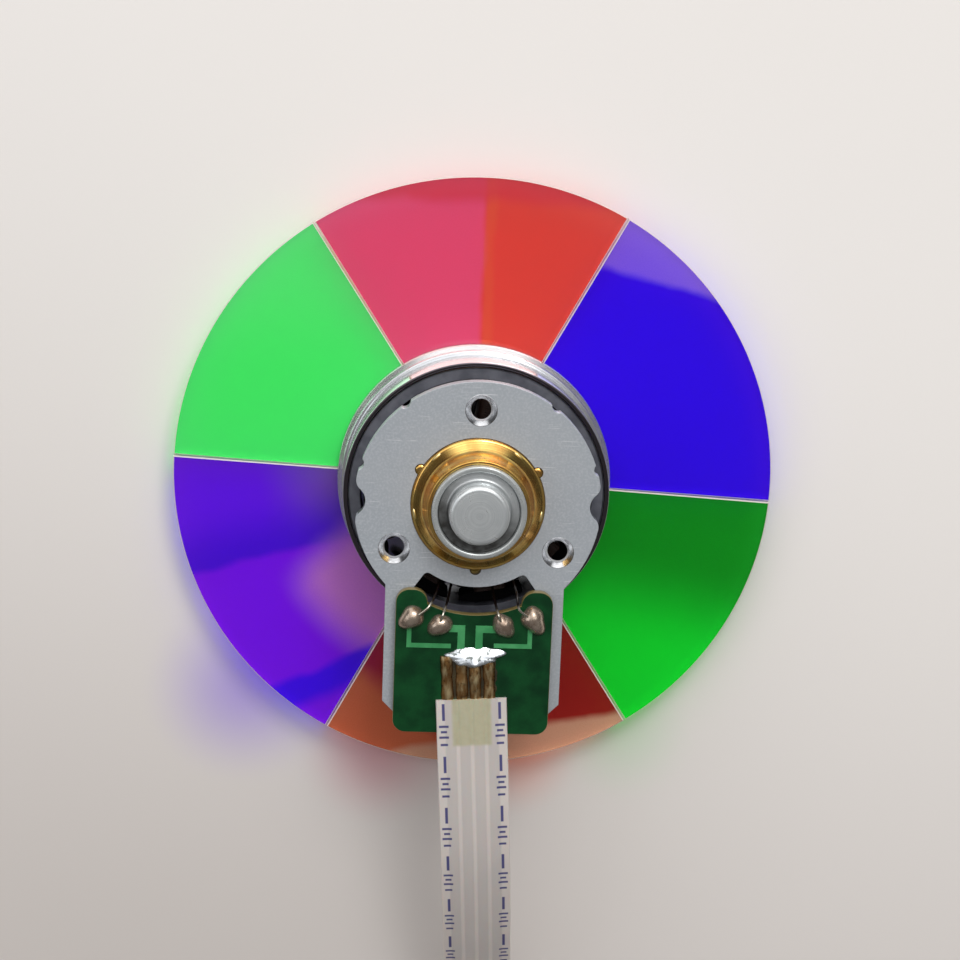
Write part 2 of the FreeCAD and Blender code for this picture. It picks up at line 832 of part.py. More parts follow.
def make_base_plate():
    """Stamped plate: disc and tongue, edge notches and nicks, window, tapped and holder holes."""
    body = new_body("base_plate")
    thickness = size("plate_thickness")
    sketch = new_sketch(body, level=plate_bottom)
    draw_circle(sketch, plate_radius)
    pad(body, sketch, thickness)

    sketch = new_sketch(body, level=plate_top)
    draw_circle(sketch, size("notch_radius"), plate_radius + size("notch_offset"), 0)
    notches = repeated(body, pocket(body, sketch, thickness), length(2))
    dress(body, "Fillet", notches, lambda edge: is_upright(edge, plate_radius), size("notch_shoulder"))

    for nick_angle in (size("lower_nick_angle"), size("upper_nick_angle")):
        for turn in (nick_angle, length(180) - nick_angle):
            sketch = new_sketch(body, level=plate_top, turn=turn)
            draw_circle(sketch, size("nick_radius"), plate_radius + size("nick_offset"), 0)
            pocket(body, sketch, thickness)

    half = size("tongue_half_width")
    chamfer = size("tongue_chamfer")
    root_y = -root(plate_radius * plate_radius - half * half)
    sketch = new_sketch(body, level=plate_bottom)
    draw_outline(sketch, [
        (-half, root_y),
        (-half, chamfer - tongue_reach),
        (chamfer - half, -tongue_reach),
        (half - chamfer, -tongue_reach),
        (half, chamfer - tongue_reach),
        (half, root_y),
    ])
    pad(body, sketch, thickness)

    sketch = new_sketch(body, level=plate_top)
    draw_circle(sketch, spigot_radius + SEAT)
    pocket(body, sketch, thickness)
    sketch = new_sketch(body, level=plate_top, turn=size("key_angle"))
    draw_circle(sketch, size("key_radius"), spigot_radius, 0)
    repeated(body, pocket(body, sketch, thickness), length(3))

    sketch = new_sketch(body, level=plate_top, turn=length(-90))
    draw_sector(sketch, window_inner, window_outer, size("window_half_angle"))
    window = pocket(body, sketch, thickness)
    dress(
        body, "Fillet", window,
        lambda edge: is_upright(edge, window_inner) or is_upright(edge, window_outer),
        size("window_corner"),
    )

    sketch = new_sketch(body, level=plate_top)
    draw_circle(sketch, size("screw_hole_radius"), 0, size("screw_circle_radius"))
    holes = repeated(body, pocket(body, sketch, thickness), length(3))
    dress(
        body, "Chamfer", holes,
        lambda edge: is_circle(edge, size("screw_hole_radius"), plate_top),
        size("screw_countersink"),
    )


def make_circuit_board():
    """Board on the tongue, with two ears beside a concave edge."""
    body = new_body("circuit_board")
    half = board_half_width
    low = -board_end
    high = size("ear_rise") - board_arc
    corner = size("board_corner")
    ear = size("ear_corner")
    inside = half - size("ear_width")
    arc_y = -root(board_arc * board_arc - inside * inside)
    sketch = new_sketch(body, level=board_bottom)
    draw_outline(sketch, [
        (corner - half, low),
        (half - corner, low, corner),
        (half, low + corner),
        (half, high - ear, ear),
        (half - ear, high),
        (inside + ear, high, ear),
        (inside, high - ear),
        (inside, arc_y, -board_arc),
        (-inside, arc_y),
        (-inside, high - ear, ear),
        (-inside - ear, high),
        (ear - half, high, ear),
        (-half, high - ear),
        (-half, low + corner, corner),
    ])
    pad(body, sketch, size("board_thickness"))


def make_board_adhesive():
    """Thin bond between the tongue and the board."""
    body = new_body("board_adhesive")
    margin = size("bond_margin")
    half = board_half_width - margin
    high = -window_outer - margin
    low = margin - tongue_reach
    sketch = new_sketch(body, level=plate_top)
    draw_outline(sketch, [(-half, low), (half, low), (half, high), (-half, high)])
    pad(body, sketch, size("board_bond"))


def make_domes(label, centres, radius, height, level):
    """Shallow solder domes, each a slice of a ball that stands on the level."""
    ball = (radius * radius + height * height) / (height * 2)
    domes = []
    for number, (x, y) in enumerate(centres, start=1):
        dome = document.addObject("Part::Sphere", f"{label}_{number}")
        dome.setExpression("Radius", ball.text)
        dome.setExpression("Angle1", f"asin(({ball.text} - {height.text}) / {ball.text})")
        dome.setExpression("Placement.Base.x", x.text)
        dome.setExpression("Placement.Base.y", y.text)
        dome.setExpression("Placement.Base.z", (level - ball + height).text)
        domes.append(dome)
    group = document.addObject("Part::Compound", label)
    group.Label = label
    group.Links = domes
    nodes.append(group)


outer_joint = (board_half_width - size("outer_joint_side"), -outer_joint_y)
inner_joint = (board_half_width - size("inner_joint_side"), -inner_joint_y)


def make_coil_solder_joints():
    centres = [(x * side, y) for x, y in (outer_joint, inner_joint) for side in (-1, 1)]
    make_domes("coil_solder_joints", centres, size("joint_radius"), size("joint_height"), board_top)


# Paths of straight runs joined by tangent arcs


def rounded_path(points, share, report=None):
    """Joins points by straight runs. Each corner's arc takes its share of the shorter run."""
    edges = []
    last = points[0]
    radii = []
    for before, corner, after in zip(points, points[1:], points[2:]):
        run_in, run_out = corner - before, after - corner
        turn = run_in.getAngle(run_out)
        cut = share * min(run_in.Length, run_out.Length)
        radius = cut / math.tan(turn / 2)
        radii.append(radius)
        inward, outward = FreeCAD.Vector(run_in).normalize(), FreeCAD.Vector(run_out).normalize()
        start, end = corner - inward * cut, corner + outward * cut
        middle_way = (outward - inward).normalize()
        middle = corner + middle_way * (radius / math.cos(turn / 2) - radius)
        edges.append(Part.LineSegment(last, start).toShape())
        edges.append(Part.Arc(start, middle, end).toShape())
        last = end
    edges.append(Part.LineSegment(last, points[-1]).toShape())
    if report:
        print(f"{report} bend radii:", ", ".join(f"{radius:.1f}" for radius in radii))
    return Part.Wire(edges)


def make_lead_wires():
    """The winding ends, from the coils up through the window and over the board's edge."""
    coil_top = core_top + size("insulator_thickness") + SEAT + size("coil_build")
    radius = size("lead_wire_radius").value
    level = board_top.value + radius + SEAT
    solids = []
    leads = ((outer_joint, size("outer_lead_angle")), (inner_joint, size("inner_lead_angle")))
    for (joint, angle), side in [(lead, side) for lead in leads for side in (-1, 1)]:
        centre = FreeCAD.Vector(joint[0].value * side, joint[1].value, 0)
        lean = math.radians(angle.value)
        ray = FreeCAD.Vector(side * math.sin(lean), -math.cos(lean), 0)
        over = ray * (board_arc.value - size("lead_edge_gap").value)
        down = ray * (window_inner.value + size("lead_window_gap").value)
        tip = centre + (over - centre).normalize() * (size("joint_radius") - size("lead_cover")).value
        path = rounded_path([
            tip + FreeCAD.Vector(0, 0, level),
            over + FreeCAD.Vector(0, 0, level + radius),
            down + FreeCAD.Vector(0, 0, plate_top.value),
            down + FreeCAD.Vector(0, 0, coil_top.value + radius),
        ], size("lead_bend_share").value)
        start = path.Edges[0]
        along = start.tangentAt(start.FirstParameter)
        ring = Part.Wire([Part.Circle(start.firstVertex().Point, along, radius).toShape()])
        solids.append(path.makePipeShell([ring], True, False))
    feature = document.addObject("Part::Feature", "coil_lead_wires")
    feature.Label = "coil_lead_wires"
    feature.Shape = Part.makeCompound(solids)
    nodes.append(feature)


# Flat cable. Its pieces are drawn along +X from the cable's start, then turned to the tongue.

CABLE_ROUTE = (
    (0.0, 0.0), (9.0, 0.1), (17.0, -1.95), (26.0, -6.75), (37.0, -10.4), (48.0, -12.1),
    (59.0, -11.7), (69.5, -11.95), (80.0, -11.65), (90.0, -12.0), (95.5, -12.0),
)


def cable_placement(level):
    """Sets local pieces at the cable's start: +X along the cable, at this level."""
    turn = FreeCAD.Rotation(FreeCAD.Vector(0, 0, 1), size("cable_skew").value - 90)
    return FreeCAD.Placement(FreeCAD.Vector(0, -cable_start.value, level.value), turn)


def strip(start, end, centre, width, bottom, thickness):
    """A flat bar along +X."""
    corner = FreeCAD.Vector(start, centre - width / 2, bottom)
    return Part.makeBox(end - start, width, thickness, corner)


def add_cable_piece(label, shape, level):
    feature = document.addObject("Part::Feature", label)
    feature.Label = label
    feature.Shape = shape
    feature.Placement = cable_placement(level)
    nodes.append(feature)


def make_cable():
    """Board end, cable and plug-in end of the four-way flat cable."""
    width = cable_width.value
    thickness = size("cable_thickness").value
    pitch = size("cable_pitch").value
    bar_width = size("conductor_width").value
    bar = size("conductor_thickness").value
    bare = size("conductor_length").value
    start_level = board_top + size("cable_thickness") / 2

    bars = [strip(-bare, 0, way * pitch, bar_width, -thickness / 2, bar) for way in WAYS]
    add_cable_piece("cable_conductors", Part.makeCompound(bars), start_level)

    drop = CABLE_ROUTE[-1][1]
    rest_level = size("stiffener_thickness").value + thickness / 2
    scale = (start_level.value - rest_level) / -drop
    points = [FreeCAD.Vector(along, 0, height * scale) for along, height in CABLE_ROUTE]
    path = rounded_path(points, size("cable_bend_share").value, report="Flat cable")
    corners = [(0, -1, -1), (0, 1, -1), (0, 1, 1), (0, -1, 1), (0, -1, -1)]
    section = Part.makePolygon([
        FreeCAD.Vector(0, across * width / 2, up * thickness / 2) for _, across, up in corners
    ])
    cable = path.makePipeShell([section], True, False)
    print(f"Flat cable length {path.Length:.2f}, volume {cable.Volume:.3f},",
          f"section times length {path.Length * width * thickness:.3f}")
    add_cable_piece("flat_cable", cable, start_level)

    end = CABLE_ROUTE[-1][0]
    floor = -start_level.value
    contact = size("contact_length").value
    back = size("stiffener_length").value - contact
    stiffener = strip(end - back, end + contact, 0, width, floor, size("stiffener_thickness").value)
    add_cable_piece("cable_end_stiffener", stiffener, start_level)
    contact_floor = floor + size("stiffener_thickness").value
    contacts = [
        strip(end, end + contact, way * pitch, bar_width, contact_floor, size("contact_thickness").value)
        for way in WAYS
    ]
    add_cable_piece("cable_contacts", Part.makeCompound(contacts), start_level)


def make_cable_solder_joints():
    """Solder where the four conductors end on the board."""
    lean = size("cable_skew")
    reach = size("conductor_length")
    centres = []
    for way in WAYS:
        across = size("cable_pitch") * way
        x = across * cosine(lean) - reach * sine(lean)
        y = across * sine(lean) + reach * cosine(lean) - cable_start
        centres.append((x, y))
    make_domes("cable_solder_joints", centres, size("pad_joint_radius"), size("pad_joint_height"), board_top)


# Build everything, test it and write the files

make_filters()
make_segment_adhesive()
make_clamp_ring()
make_balance_putty()
make_rotor_hub()
make_rotor_yoke()
make_rotor_magnet()
make_shaft()
make_oil_bearing()
make_stop_ring()
make_bearing_sleeve()
make_thrust_cap()
make_thrust_washer()
make_bearing_holder()
make_stator_core()
make_insulators()
make_coils()
make_base_plate()
make_circuit_board()
make_board_adhesive()
make_coil_solder_joints()
make_lead_wires()
make_cable()
make_cable_solder_joints()
document.recompute()

for item in document.Objects:
    if "Invalid" in item.State or "Error" in item.State:
        raise RuntimeError(f"{item.Label} did not compute: {item.State}")
for node in nodes:
    if node.Shape.isNull() or not node.Shape.isValid() or not node.Shape.Solids:
        raise RuntimeError(f"{node.Label} has no valid solid")

os.makedirs("parts", exist_ok=True)
for node in nodes:
    node.Shape.exportStep(f"parts/{node.Label}.step")
    solids = len(node.Shape.Solids)
    print(f"{node.Label}: {solids} solid(s), volume {node.Shape.Volume:.3f}")
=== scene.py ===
import json
import logging
import math
from dataclasses import dataclass
from enum import Enum
from typing import Sequence

import bmesh
import bpy
import numpy as np
from mathutils import Matrix, Vector

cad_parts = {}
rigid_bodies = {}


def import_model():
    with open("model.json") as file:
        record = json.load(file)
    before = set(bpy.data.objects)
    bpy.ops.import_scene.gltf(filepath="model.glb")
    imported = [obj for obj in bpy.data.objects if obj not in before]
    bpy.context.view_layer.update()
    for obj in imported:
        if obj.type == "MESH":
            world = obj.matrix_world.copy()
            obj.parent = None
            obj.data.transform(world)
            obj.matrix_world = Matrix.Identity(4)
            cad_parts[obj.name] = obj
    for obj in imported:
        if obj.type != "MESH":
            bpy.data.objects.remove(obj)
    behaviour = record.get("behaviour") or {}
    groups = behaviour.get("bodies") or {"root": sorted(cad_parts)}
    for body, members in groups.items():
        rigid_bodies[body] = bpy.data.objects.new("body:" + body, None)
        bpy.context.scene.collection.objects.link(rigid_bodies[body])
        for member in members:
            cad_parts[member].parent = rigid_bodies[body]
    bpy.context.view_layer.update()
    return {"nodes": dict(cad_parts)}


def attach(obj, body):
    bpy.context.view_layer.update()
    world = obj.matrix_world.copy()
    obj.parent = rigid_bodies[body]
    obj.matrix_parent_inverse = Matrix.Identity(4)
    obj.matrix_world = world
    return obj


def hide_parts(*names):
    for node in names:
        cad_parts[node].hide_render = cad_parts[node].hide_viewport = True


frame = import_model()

# A projector colour wheel, dressed: six coated glass filters on the rotor of a flat outer-rotor
# motor, with its base plate, brass bearing holder, circuit board and flat cable.
# Sizes are written in millimetres and angles in degrees. Meshes are stored in metres.

log = logging.getLogger("colour_wheel")

MM = 0.001
STATOR = "stator"
ROTOR = "rotor"
SMOOTH_ANGLE = math.radians(38)
FLAT_ANGLE = math.radians(0.8)
WELD_DISTANCE = 0.0004 * MM

Array = np.ndarray
Shape = tuple[Array, list]
Spot = tuple[float, float]
Corner = tuple[float, float, float]
Colour = tuple[float, float, float]
Socket = bpy.types.NodeSocket
Value = Socket | float
Entry = Value | Sequence[float]
Material = bpy.types.Material
Piece = bpy.types.Object


def shade(*display: int) -> Colour:
    """Turns the red, green and blue of a display, 0 to 255, into the linear colour of a shader.

    Args:
        display: The red, green and blue.

    Returns:
        The linear colour.
    """
    values = np.array(display) / 255
    linear = np.where(values <= 0.04045, values / 12.92, ((values + 0.055) / 1.055) ** 2.4)
    return tuple(float(value) for value in linear)


# Shapes


@dataclass(frozen=True)
class Role:
    """What a piece is in the part: its body, its material slot and the solid that it stands for."""

    body: str
    slot: str
    node: str = ""


def turn(steps: int) -> Array:
    """Angles in even steps all the way round."""
    return np.linspace(0, math.tau, steps, endpoint=False)


def unit(vectors: Array) -> Array:
    """The vectors at length 1."""
    return vectors / np.linalg.norm(vectors, axis=-1, keepdims=True)


def polar(rings: int, around: int) -> tuple[Array, Array]:
    """A grid over a disc: the share of the radius, from 0 to 1, and the angle."""
    return np.meshgrid(np.linspace(0, 1, rings), turn(around), indexing="ij")


def squared(angle: Array, power: float) -> Array:
    """Radius at an angle of a square with rounded corners: 1 over the root of |cos|^n + |sin|^n."""
    return (np.abs(np.cos(angle)) ** power + np.abs(np.sin(angle)) ** power) ** (-1 / power)


def waves(angle: Array, *parts: tuple[float, float, Array | float]) -> Array:
    """A sum of sine waves, each given by its height, how often it goes round and its start."""
    return sum(height * np.sin(count * angle + start) for height, count, start in parts)


def lobe(angle: Array, towards: float, power: float) -> Array:
    """A lobe: the cosine of the angle from its own, where that is positive, to a power."""
    return np.clip(np.cos(angle - towards), 0, 1) ** power


def parabolas(first: Array, control: Array, last: Array, steps: int) -> Array:
    """Points on parabolas: (1 - t)^2 times first, 2t (1 - t) times control and t^2 times last."""
    t = np.linspace(0, 1, steps)[None, :, None]
    return (1 - t) ** 2 * first + 2 * t * (1 - t) * control + t**2 * last


def soften(corners: Sequence[Corner], steps: int) -> Array:
    """Rounds the corners of a closed outline.

    Each corner is (across, up, cut). The points at that cut to both sides of the corner are
    joined by a parabola that has the corner as its control point.

    Args:
        corners: The corners in order, each with the length that its rounding takes.
        steps: Points on each rounding.

    Returns:
        An array of (across, up) points.
    """
    table = np.array(corners, dtype=float)
    middle, cut = table[:, None, :2], table[:, None, 2:]
    first, last = (middle + unit(np.roll(middle, way, axis=0) - middle) * cut for way in (1, -1))
    return parabolas(first, middle, last, steps).reshape(-1, 2)


def bend(corners: Sequence[Corner], steps: int = 12) -> Array:
    """A smooth path through a few points.

    Every two neighbouring middles of the path's runs are joined by a parabola that has the
    point between them as its control point.

    Args:
        corners: The points.
        steps: Points on each parabola.

    Returns:
        The path's points.
    """
    table = np.array(corners, dtype=float)
    middles = (table[:-1] + table[1:]) / 2
    middles[0], middles[-1] = table[0], table[-1]
    path = parabolas(middles[:-1, None], table[1:-1, None], middles[1:, None], steps).reshape(-1, 3)
    moved = np.linalg.norm(np.diff(path, axis=0), axis=1) > 1e-6
    return path[np.concatenate([[True], moved])]


def quads(rows: int, columns: int, wrap_rows: bool = True, wrap_columns: bool = True) -> Array:
    """Joins a grid of points, numbered row by row, into four-cornered faces.

    Args:
        rows: Rows of the grid.
        columns: Columns of the grid.
        wrap_rows: True where the last row joins the first.
        wrap_columns: True where the last column joins the first.

    Returns:
        An array with the four point numbers of each face.
    """
    counts = rows - (not wrap_rows), columns - (not wrap_columns)
    row, column = np.meshgrid(*map(np.arange, counts), indexing="ij")
    below, beside = (row + 1) % rows, (column + 1) % columns
    corners = [(row, column), (below, column), (below, beside), (row, beside)]
    return np.stack([a * columns + b for a, b in corners], axis=-1).reshape(-1, 4)


def capped(points: Array) -> Shape:
    """Closes a tube of rings with a middle point at each end.

    Args:
        points: A (rings, points in a ring, 3) array.

    Returns:
        The flat list of points with the two middle points last, and the faces.
    """
    rings, around, _ = points.shape
    ends = np.stack([points[0].mean(axis=0), points[-1].mean(axis=0)])
    faces = quads(rings, around, wrap_rows=False).tolist()
    step = np.arange(around)
    following = (step + 1) % around
    count, last = rings * around, (rings - 1) * around
    faces += np.stack([np.full(around, count), step, following], axis=1).tolist()
    faces += np.stack([np.full(around, count + 1), last + following, last + step], axis=1).tolist()
    return np.concatenate([points.reshape(-1, 3), ends]), faces


def sweep(path: Array, radius: float, around: int = 16, square_to: Corner = (0.31, 0.17, 0.93)) -> Shape:
    """Carries a circle along a path, square to it, and closes both ends.

    The circle's two axes come from the path's direction and a fixed reference direction.

    Args:
        path: The path's points.
        radius: The circle's radius.
        around: Points on the circle.
        square_to: The reference direction, which the path never follows.

    Returns:
        The points and the faces.
    """
    ahead = unit(np.gradient(path, axis=0))
    side = unit(np.cross(ahead, np.array(square_to)))
    up = np.cross(side, ahead)
    angle = turn(around)[None, :, None]
    return capped(path[:, None] + (side[:, None] * np.cos(angle) + up[:, None] * np.sin(angle)) * radius)


def joined(shapes: Sequence[Shape]) -> Shape:
    """Puts several shapes together as one.

    Args:
        shapes: The points and faces of each.

    Returns:
        The points and faces of all.
    """
    points, faces, start = [], [], 0
    for some_points, some_faces in shapes:
        flat = some_points.reshape(-1, 3)
        points.append(flat)
        faces += [[index + start for index in face] for face in some_faces]
        start += len(flat)
    return np.concatenate(points), faces


def settle(name: str, mesh: bpy.types.Mesh, finish: Material, role: Role, rounding: float = 0.0) -> Piece:
    """Welds a mesh, turns its faces outwards, shades it, sets it on its body and hides the solid that it
    stands for.

    Args:
        name: The piece's name.
        mesh: The mesh, in metres.
        finish: Its material.
        role: What it is in the part.
        rounding: Width of the rounding that each sharp edge gets, or 0 for none.

    Returns:
        The new object.
    """
    work = bmesh.new()
    work.from_mesh(mesh)
    bmesh.ops.remove_doubles(work, verts=work.verts, dist=WELD_DISTANCE)
    bmesh.ops.dissolve_degenerate(work, edges=work.edges, dist=WELD_DISTANCE)
    if rounding:
        bmesh.ops.dissolve_limit(work, angle_limit=FLAT_ANGLE, verts=work.verts, edges=work.edges)
        shared = (edge for edge in work.edges if len(edge.link_faces) == 2)
        sharp = [edge for edge in shared if edge.calc_face_angle() > SMOOTH_ANGLE]
        bmesh.ops.bevel(
            work,
            geom=sharp,
            offset=rounding * MM,
            segments=3,
            profile=0.5,
            affect="EDGES",
            clamp_overlap=True,
        )
    bmesh.ops.recalc_face_normals(work, faces=work.faces)
    work.to_mesh(mesh)
    work.free()
    mesh.polygons.foreach_set("use_smooth", np.ones(len(mesh.polygons), dtype=bool))
    mesh.set_sharp_from_angle(angle=SMOOTH_ANGLE)
    mesh.materials.clear()
    mesh.materials.append(finish)
    piece = bpy.data.objects.new(name, mesh)
    bpy.context.scene.collection.objects.link(piece)
    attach(piece, role.body)
    if role.node:
        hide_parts(role.node)
    return piece


def add_piece(name: str, shape: Shape, finish: Material, role: Role) -> Piece:
    """Makes a closed piece from points in millimetres and their faces.

    Args:
        name: The piece's name.
        shape: Its points and faces.
        finish: Its material.
        role: What it is in the part.

    Returns:
        The new object.
    """
    points, faces = shape
    mesh = bpy.data.meshes.new(name)
    mesh.from_pydata((points.reshape(-1, 3) * MM).tolist(), [], [list(face) for face in faces])
    return settle(name, mesh, finish, role)


def lathe(name: str, profile: Array, around: int, finish: Material, role: Role) -> Piece:
    """Turns a closed profile about the motor axis.

    Each profile point (r, z) at the angle a becomes (r cos a, r sin a, z).

    Args:
        name: The piece's name.
        profile: The profile's points, as radius and height.
        around: Steps round the axis.
        finish: Its material.
        role: What it is in the part.

    Returns:
        The new object.
    """
    angle = turn(around)[:, None]
    radius, height = profile[None, :, 0], profile[None, :, 1]
    points = np.stack([radius * np.cos(angle), radius * np.sin(angle), height + 0 * angle], axis=-1)
    return add_piece(name, (points, quads(*points.shape[:2])), finish, role)


def refine(name: str, finish: Material, role: Role, edge: float = 0.05) -> Piece:
    """Makes a finished copy of a solid, with every sharp edge rounded, that stands for it.

    Args:
        name: The copy's name.
        finish: Its material.
        role: What it is in the part, with the solid's name.
        edge: Width of the rounding.

    Returns:
        The new object.
    """
    mesh = frame["nodes"][role.node].data.copy()
    mesh.name = name
    piece = settle(name, mesh, finish, role, edge)
    piece.modifiers.new("even_shading", "WEIGHTED_NORMAL").keep_sharp = True
    return piece


def dress(finish: Material, *nodes: str) -> None:
    """Gives solids their finish.

    Args:
        finish: Their material.
        nodes: The solids' names.
    """
    for node in nodes:
        mesh = frame["nodes"][node].data
        mesh.materials.clear()
        mesh.materials.append(finish)


# Patterns


class Patterns:
    """Patterns in a node tree. Each method adds nodes and gives the socket of their result."""

    def __init__(self, tree: bpy.types.NodeTree) -> None:
        """Takes the tree that the nodes go to."""
        self.nodes, self.links = tree.nodes, tree.links

    def node(self, kind: str, **settings: object) -> bpy.types.Node:
        """Adds a shader node of a kind, with its settings.

        Args:
            kind: The kind, as Blender names it.
            settings: Its settings.

        Returns:
            The node.
        """
        node = self.nodes.new("ShaderNode" + kind)
        for name, value in settings.items():
            setattr(node, name, value)
        return node

    def fill(self, socket: Socket, value: Entry) -> None:
        """Links a socket, or sets it to a plain value.

        Args:
            socket: The socket.
            value: The socket to link, or the value.
        """
        if isinstance(value, Socket):
            self.links.new(value, socket)
        elif hasattr(socket.default_value, "__len__") and len(value) < len(socket.default_value):
            socket.default_value = (*value, 1.0)
        else:
            socket.default_value = value

    def feed(self, node: bpy.types.Node, values: dict[str | int, Entry]) -> bpy.types.Node:
        """Fills several inputs of a node.

        Args:
            node: The node.
            values: What each input gets.

        Returns:
            The same node.
        """
        for key, value in values.items():
            self.fill(node.inputs[key], value)
        return node

    def compute(self, operation: str, *values: Value, clamp: bool = False) -> Socket:
        """One step of arithmetic, kept between 0 and 1 where clamp is set."""
        node = self.node("Math", operation=operation, use_clamp=clamp)
        return self.feed(node, dict(enumerate(values))).outputs[0]

    def times(self, first: Value, second: Value) -> Socket:
        """The product of two patterns."""
        return self.compute("MULTIPLY", first, second)

    def scaled(self, value: Value, gain: float, base: float = 0.0) -> Socket:
        """A pattern times a gain, on top of a base value."""
        return self.compute("MULTIPLY_ADD", value, gain, base)

    def distance(self, value: Value, place: float) -> Socket:
        """How far a value is from a place."""
        return self.compute("ABSOLUTE", self.compute("SUBTRACT", value, place))

    def ray(self, kind: str) -> Socket:
        """1 for one kind of light ray, such as one that a mirror sends on, and 0 for the others."""
        return self.node("LightPath").outputs[f"Is {kind} Ray"]

    def split(self, vector: Socket) -> dict[str, Socket]:
        """The parts of a vector, by their letters X, Y and Z."""
        node = self.feed(self.node("SeparateXYZ"), {0: vector})
        return {letter: node.outputs[letter] for letter in "XYZ"}

    def ramp(self, value: Value, low: float, high: float, first: float = 0.0, last: float = 1.0) -> Socket:
        """Goes smoothly from one level to another. High may be the smaller one of the two places.

        Args:
            value: The pattern to read.
            low: Where the first level ends.
            high: Where the last level is reached.
            first: The first level.
            last: The last level.

        Returns:
            The result.
        """
        (low, first), (high, last) = sorted([(low, first), (high, last)])
        places = {"Value": value, "From Min": low, "From Max": high, "To Min": first, "To Max": last}
        return self.feed(self.node("MapRange", interpolation_type="SMOOTHSTEP"), places).outputs["Result"]

    def lines(self, value: Socket, width: float, detail: float = 3.0) -> Socket:
        """Noise that changes with one value only, such as turning lines by radius.

        Args:
            value: What it changes with, in millimetres.
            width: Width of its lines in millimetres.
            detail: Finer layers on top.

        Returns:
            The noise.
        """
        node = self.node("TexNoise", noise_dimensions="1D")
        return self.feed(node, {"W": value, "Scale": 1 / width, "Detail": detail}).outputs["Fac"]

    def blend(self, factor: Value, first: Entry, second: Entry) -> Socket:
        """Mixes two colours: the first at factor 0, the second at factor 1.

        Args:
            factor: The share of the second.
            first: The first colour.
            second: The second colour.

        Returns:
            The mixed colour.
        """
        node = self.node("Mix", data_type="RGBA")
        inputs = [socket for socket in node.inputs if socket.enabled]
        for socket, value in zip(inputs, (factor, first, second)):
            self.fill(socket, value)
        return next(socket for socket in node.outputs if socket.enabled)


class Surface(Patterns):
    """A material being made: a Principled shader and the patterns that feed it."""

    def __init__(self, name: str) -> None:
        """Starts an empty material with a name.

        Args:
            name: The material's name.
        """
        self.material = bpy.data.materials.new(name)
        self.material.use_nodes = True
        super().__init__(self.material.node_tree)
        self.nodes.clear()
        self.output = self.node("OutputMaterial")
        self.shader = self.node("BsdfPrincipled")
        self.links.new(self.shader.outputs[0], self.output.inputs["Surface"])
        self.place = self.node("TexCoord").outputs["Object"]

    def set(self, **values: Entry) -> None:
        """Sets the shader's sockets by their names, written in small letters with underscores."""
        for name, value in values.items():
            self.fill(self.shader.inputs[name.replace("_", " ").title().replace("Ior", "IOR")], value)

    @property
    def colour(self) -> Entry:
        """The base colour so far."""
        socket = self.shader.inputs["Base Color"]
        return socket.links[0].from_socket if socket.is_linked else tuple(socket.default_value)[:3]

    def stain(self, pattern: Value, tone: Entry, share: float = 1.0) -> None:
        """Turns the base colour to a tone where a pattern is 1, by a share."""
        factor = pattern if share == 1.0 else self.times(pattern, share)
        self.set(base_color=self.blend(factor, self.colour, tone))

    def axis(self, letter: str) -> Socket:
        """The object's own X, Y or Z in millimetres."""
        return self.times(self.split(self.place)[letter], 1 / MM)

    def along(self, angle: float) -> Socket:
        """The distance from the motor axis along a direction, given from +X, in millimetres."""
        across = self.times(self.axis("X"), math.cos(math.radians(angle)))
        return self.compute("ADD", across, self.times(self.axis("Y"), math.sin(math.radians(angle))))

    def radius(self, x: float = 0.0, y: float = 0.0) -> Socket:
        """The distance from an upright axis that stands at x and y, in millimetres."""
        offsets = [self.compute("SUBTRACT", self.axis(letter), at) for letter, at in (("X", x), ("Y", y))]
        return self.compute("SQRT", self.compute("ADD", *(self.times(offset, offset) for offset in offsets)))

    def levelness(self) -> Socket:
        """1 on a level face and 0 on an upright one: the size of its direction's Z."""
        return self.compute("ABSOLUTE", self.split(self.node("NewGeometry").outputs["Normal"])["Z"])

    def noise(
        self, size: float, detail: float = 2.0, stretch: Corner = (1, 1, 1), seed: float = 0.0
    ) -> Socket:
        """Cloudy noise on the object's own coordinates, from 0 to 1.

        Args:
            size: Size of its patches in millimetres.
            detail: Finer layers on top.
            stretch: How much longer its patches are along X, Y and Z.
            seed: Moves the pattern.

        Returns:
            The noise.
        """
        mapping = self.feed(self.node("Mapping"), {
            "Vector": self.place,
            "Location": (seed, seed * 0.7, seed * 0.3),
            "Scale": tuple(1 / (size * MM * amount) for amount in stretch),
        })
        values = {"Vector": mapping.outputs[0], "Scale": 1.0, "Detail": detail}
        return self.feed(self.node("TexNoise"), values).outputs["Fac"]

    def relief(self, height: Socket, depth: float, strength: float = 1.0) -> None:
        """Adds a pattern to the surface as bumps.

        Args:
            height: The pattern, from 0 to 1.
            depth: How high a 1 stands, in millimetres.
            strength: The share of it that shows.
        """
        node = self.feed(self.node("Bump"), {"Distance": depth * MM, "Strength": strength, "Height": height})
        normal = self.shader.inputs["Normal"]
        if normal.is_linked:
            self.links.new(normal.links[0].from_socket, node.inputs["Normal"])
        self.links.new(node.outputs["Normal"], normal)

    def pass_lamps(self, tint: Entry) -> None:
        """Lets the lamps shine through in a colour, so that the glass throws a coloured glow.

        Args:
            tint: The colour.
        """
        clear = self.feed(self.node("BsdfTransparent"), {"Color": tint}).outputs[0]
        mix = self.feed(self.node("MixShader"), {0: self.ray("Shadow"), 1: self.shader.outputs[0], 2: clear})
        self.links.new(mix.outputs[0], self.output.inputs["Surface"])


# Finishes


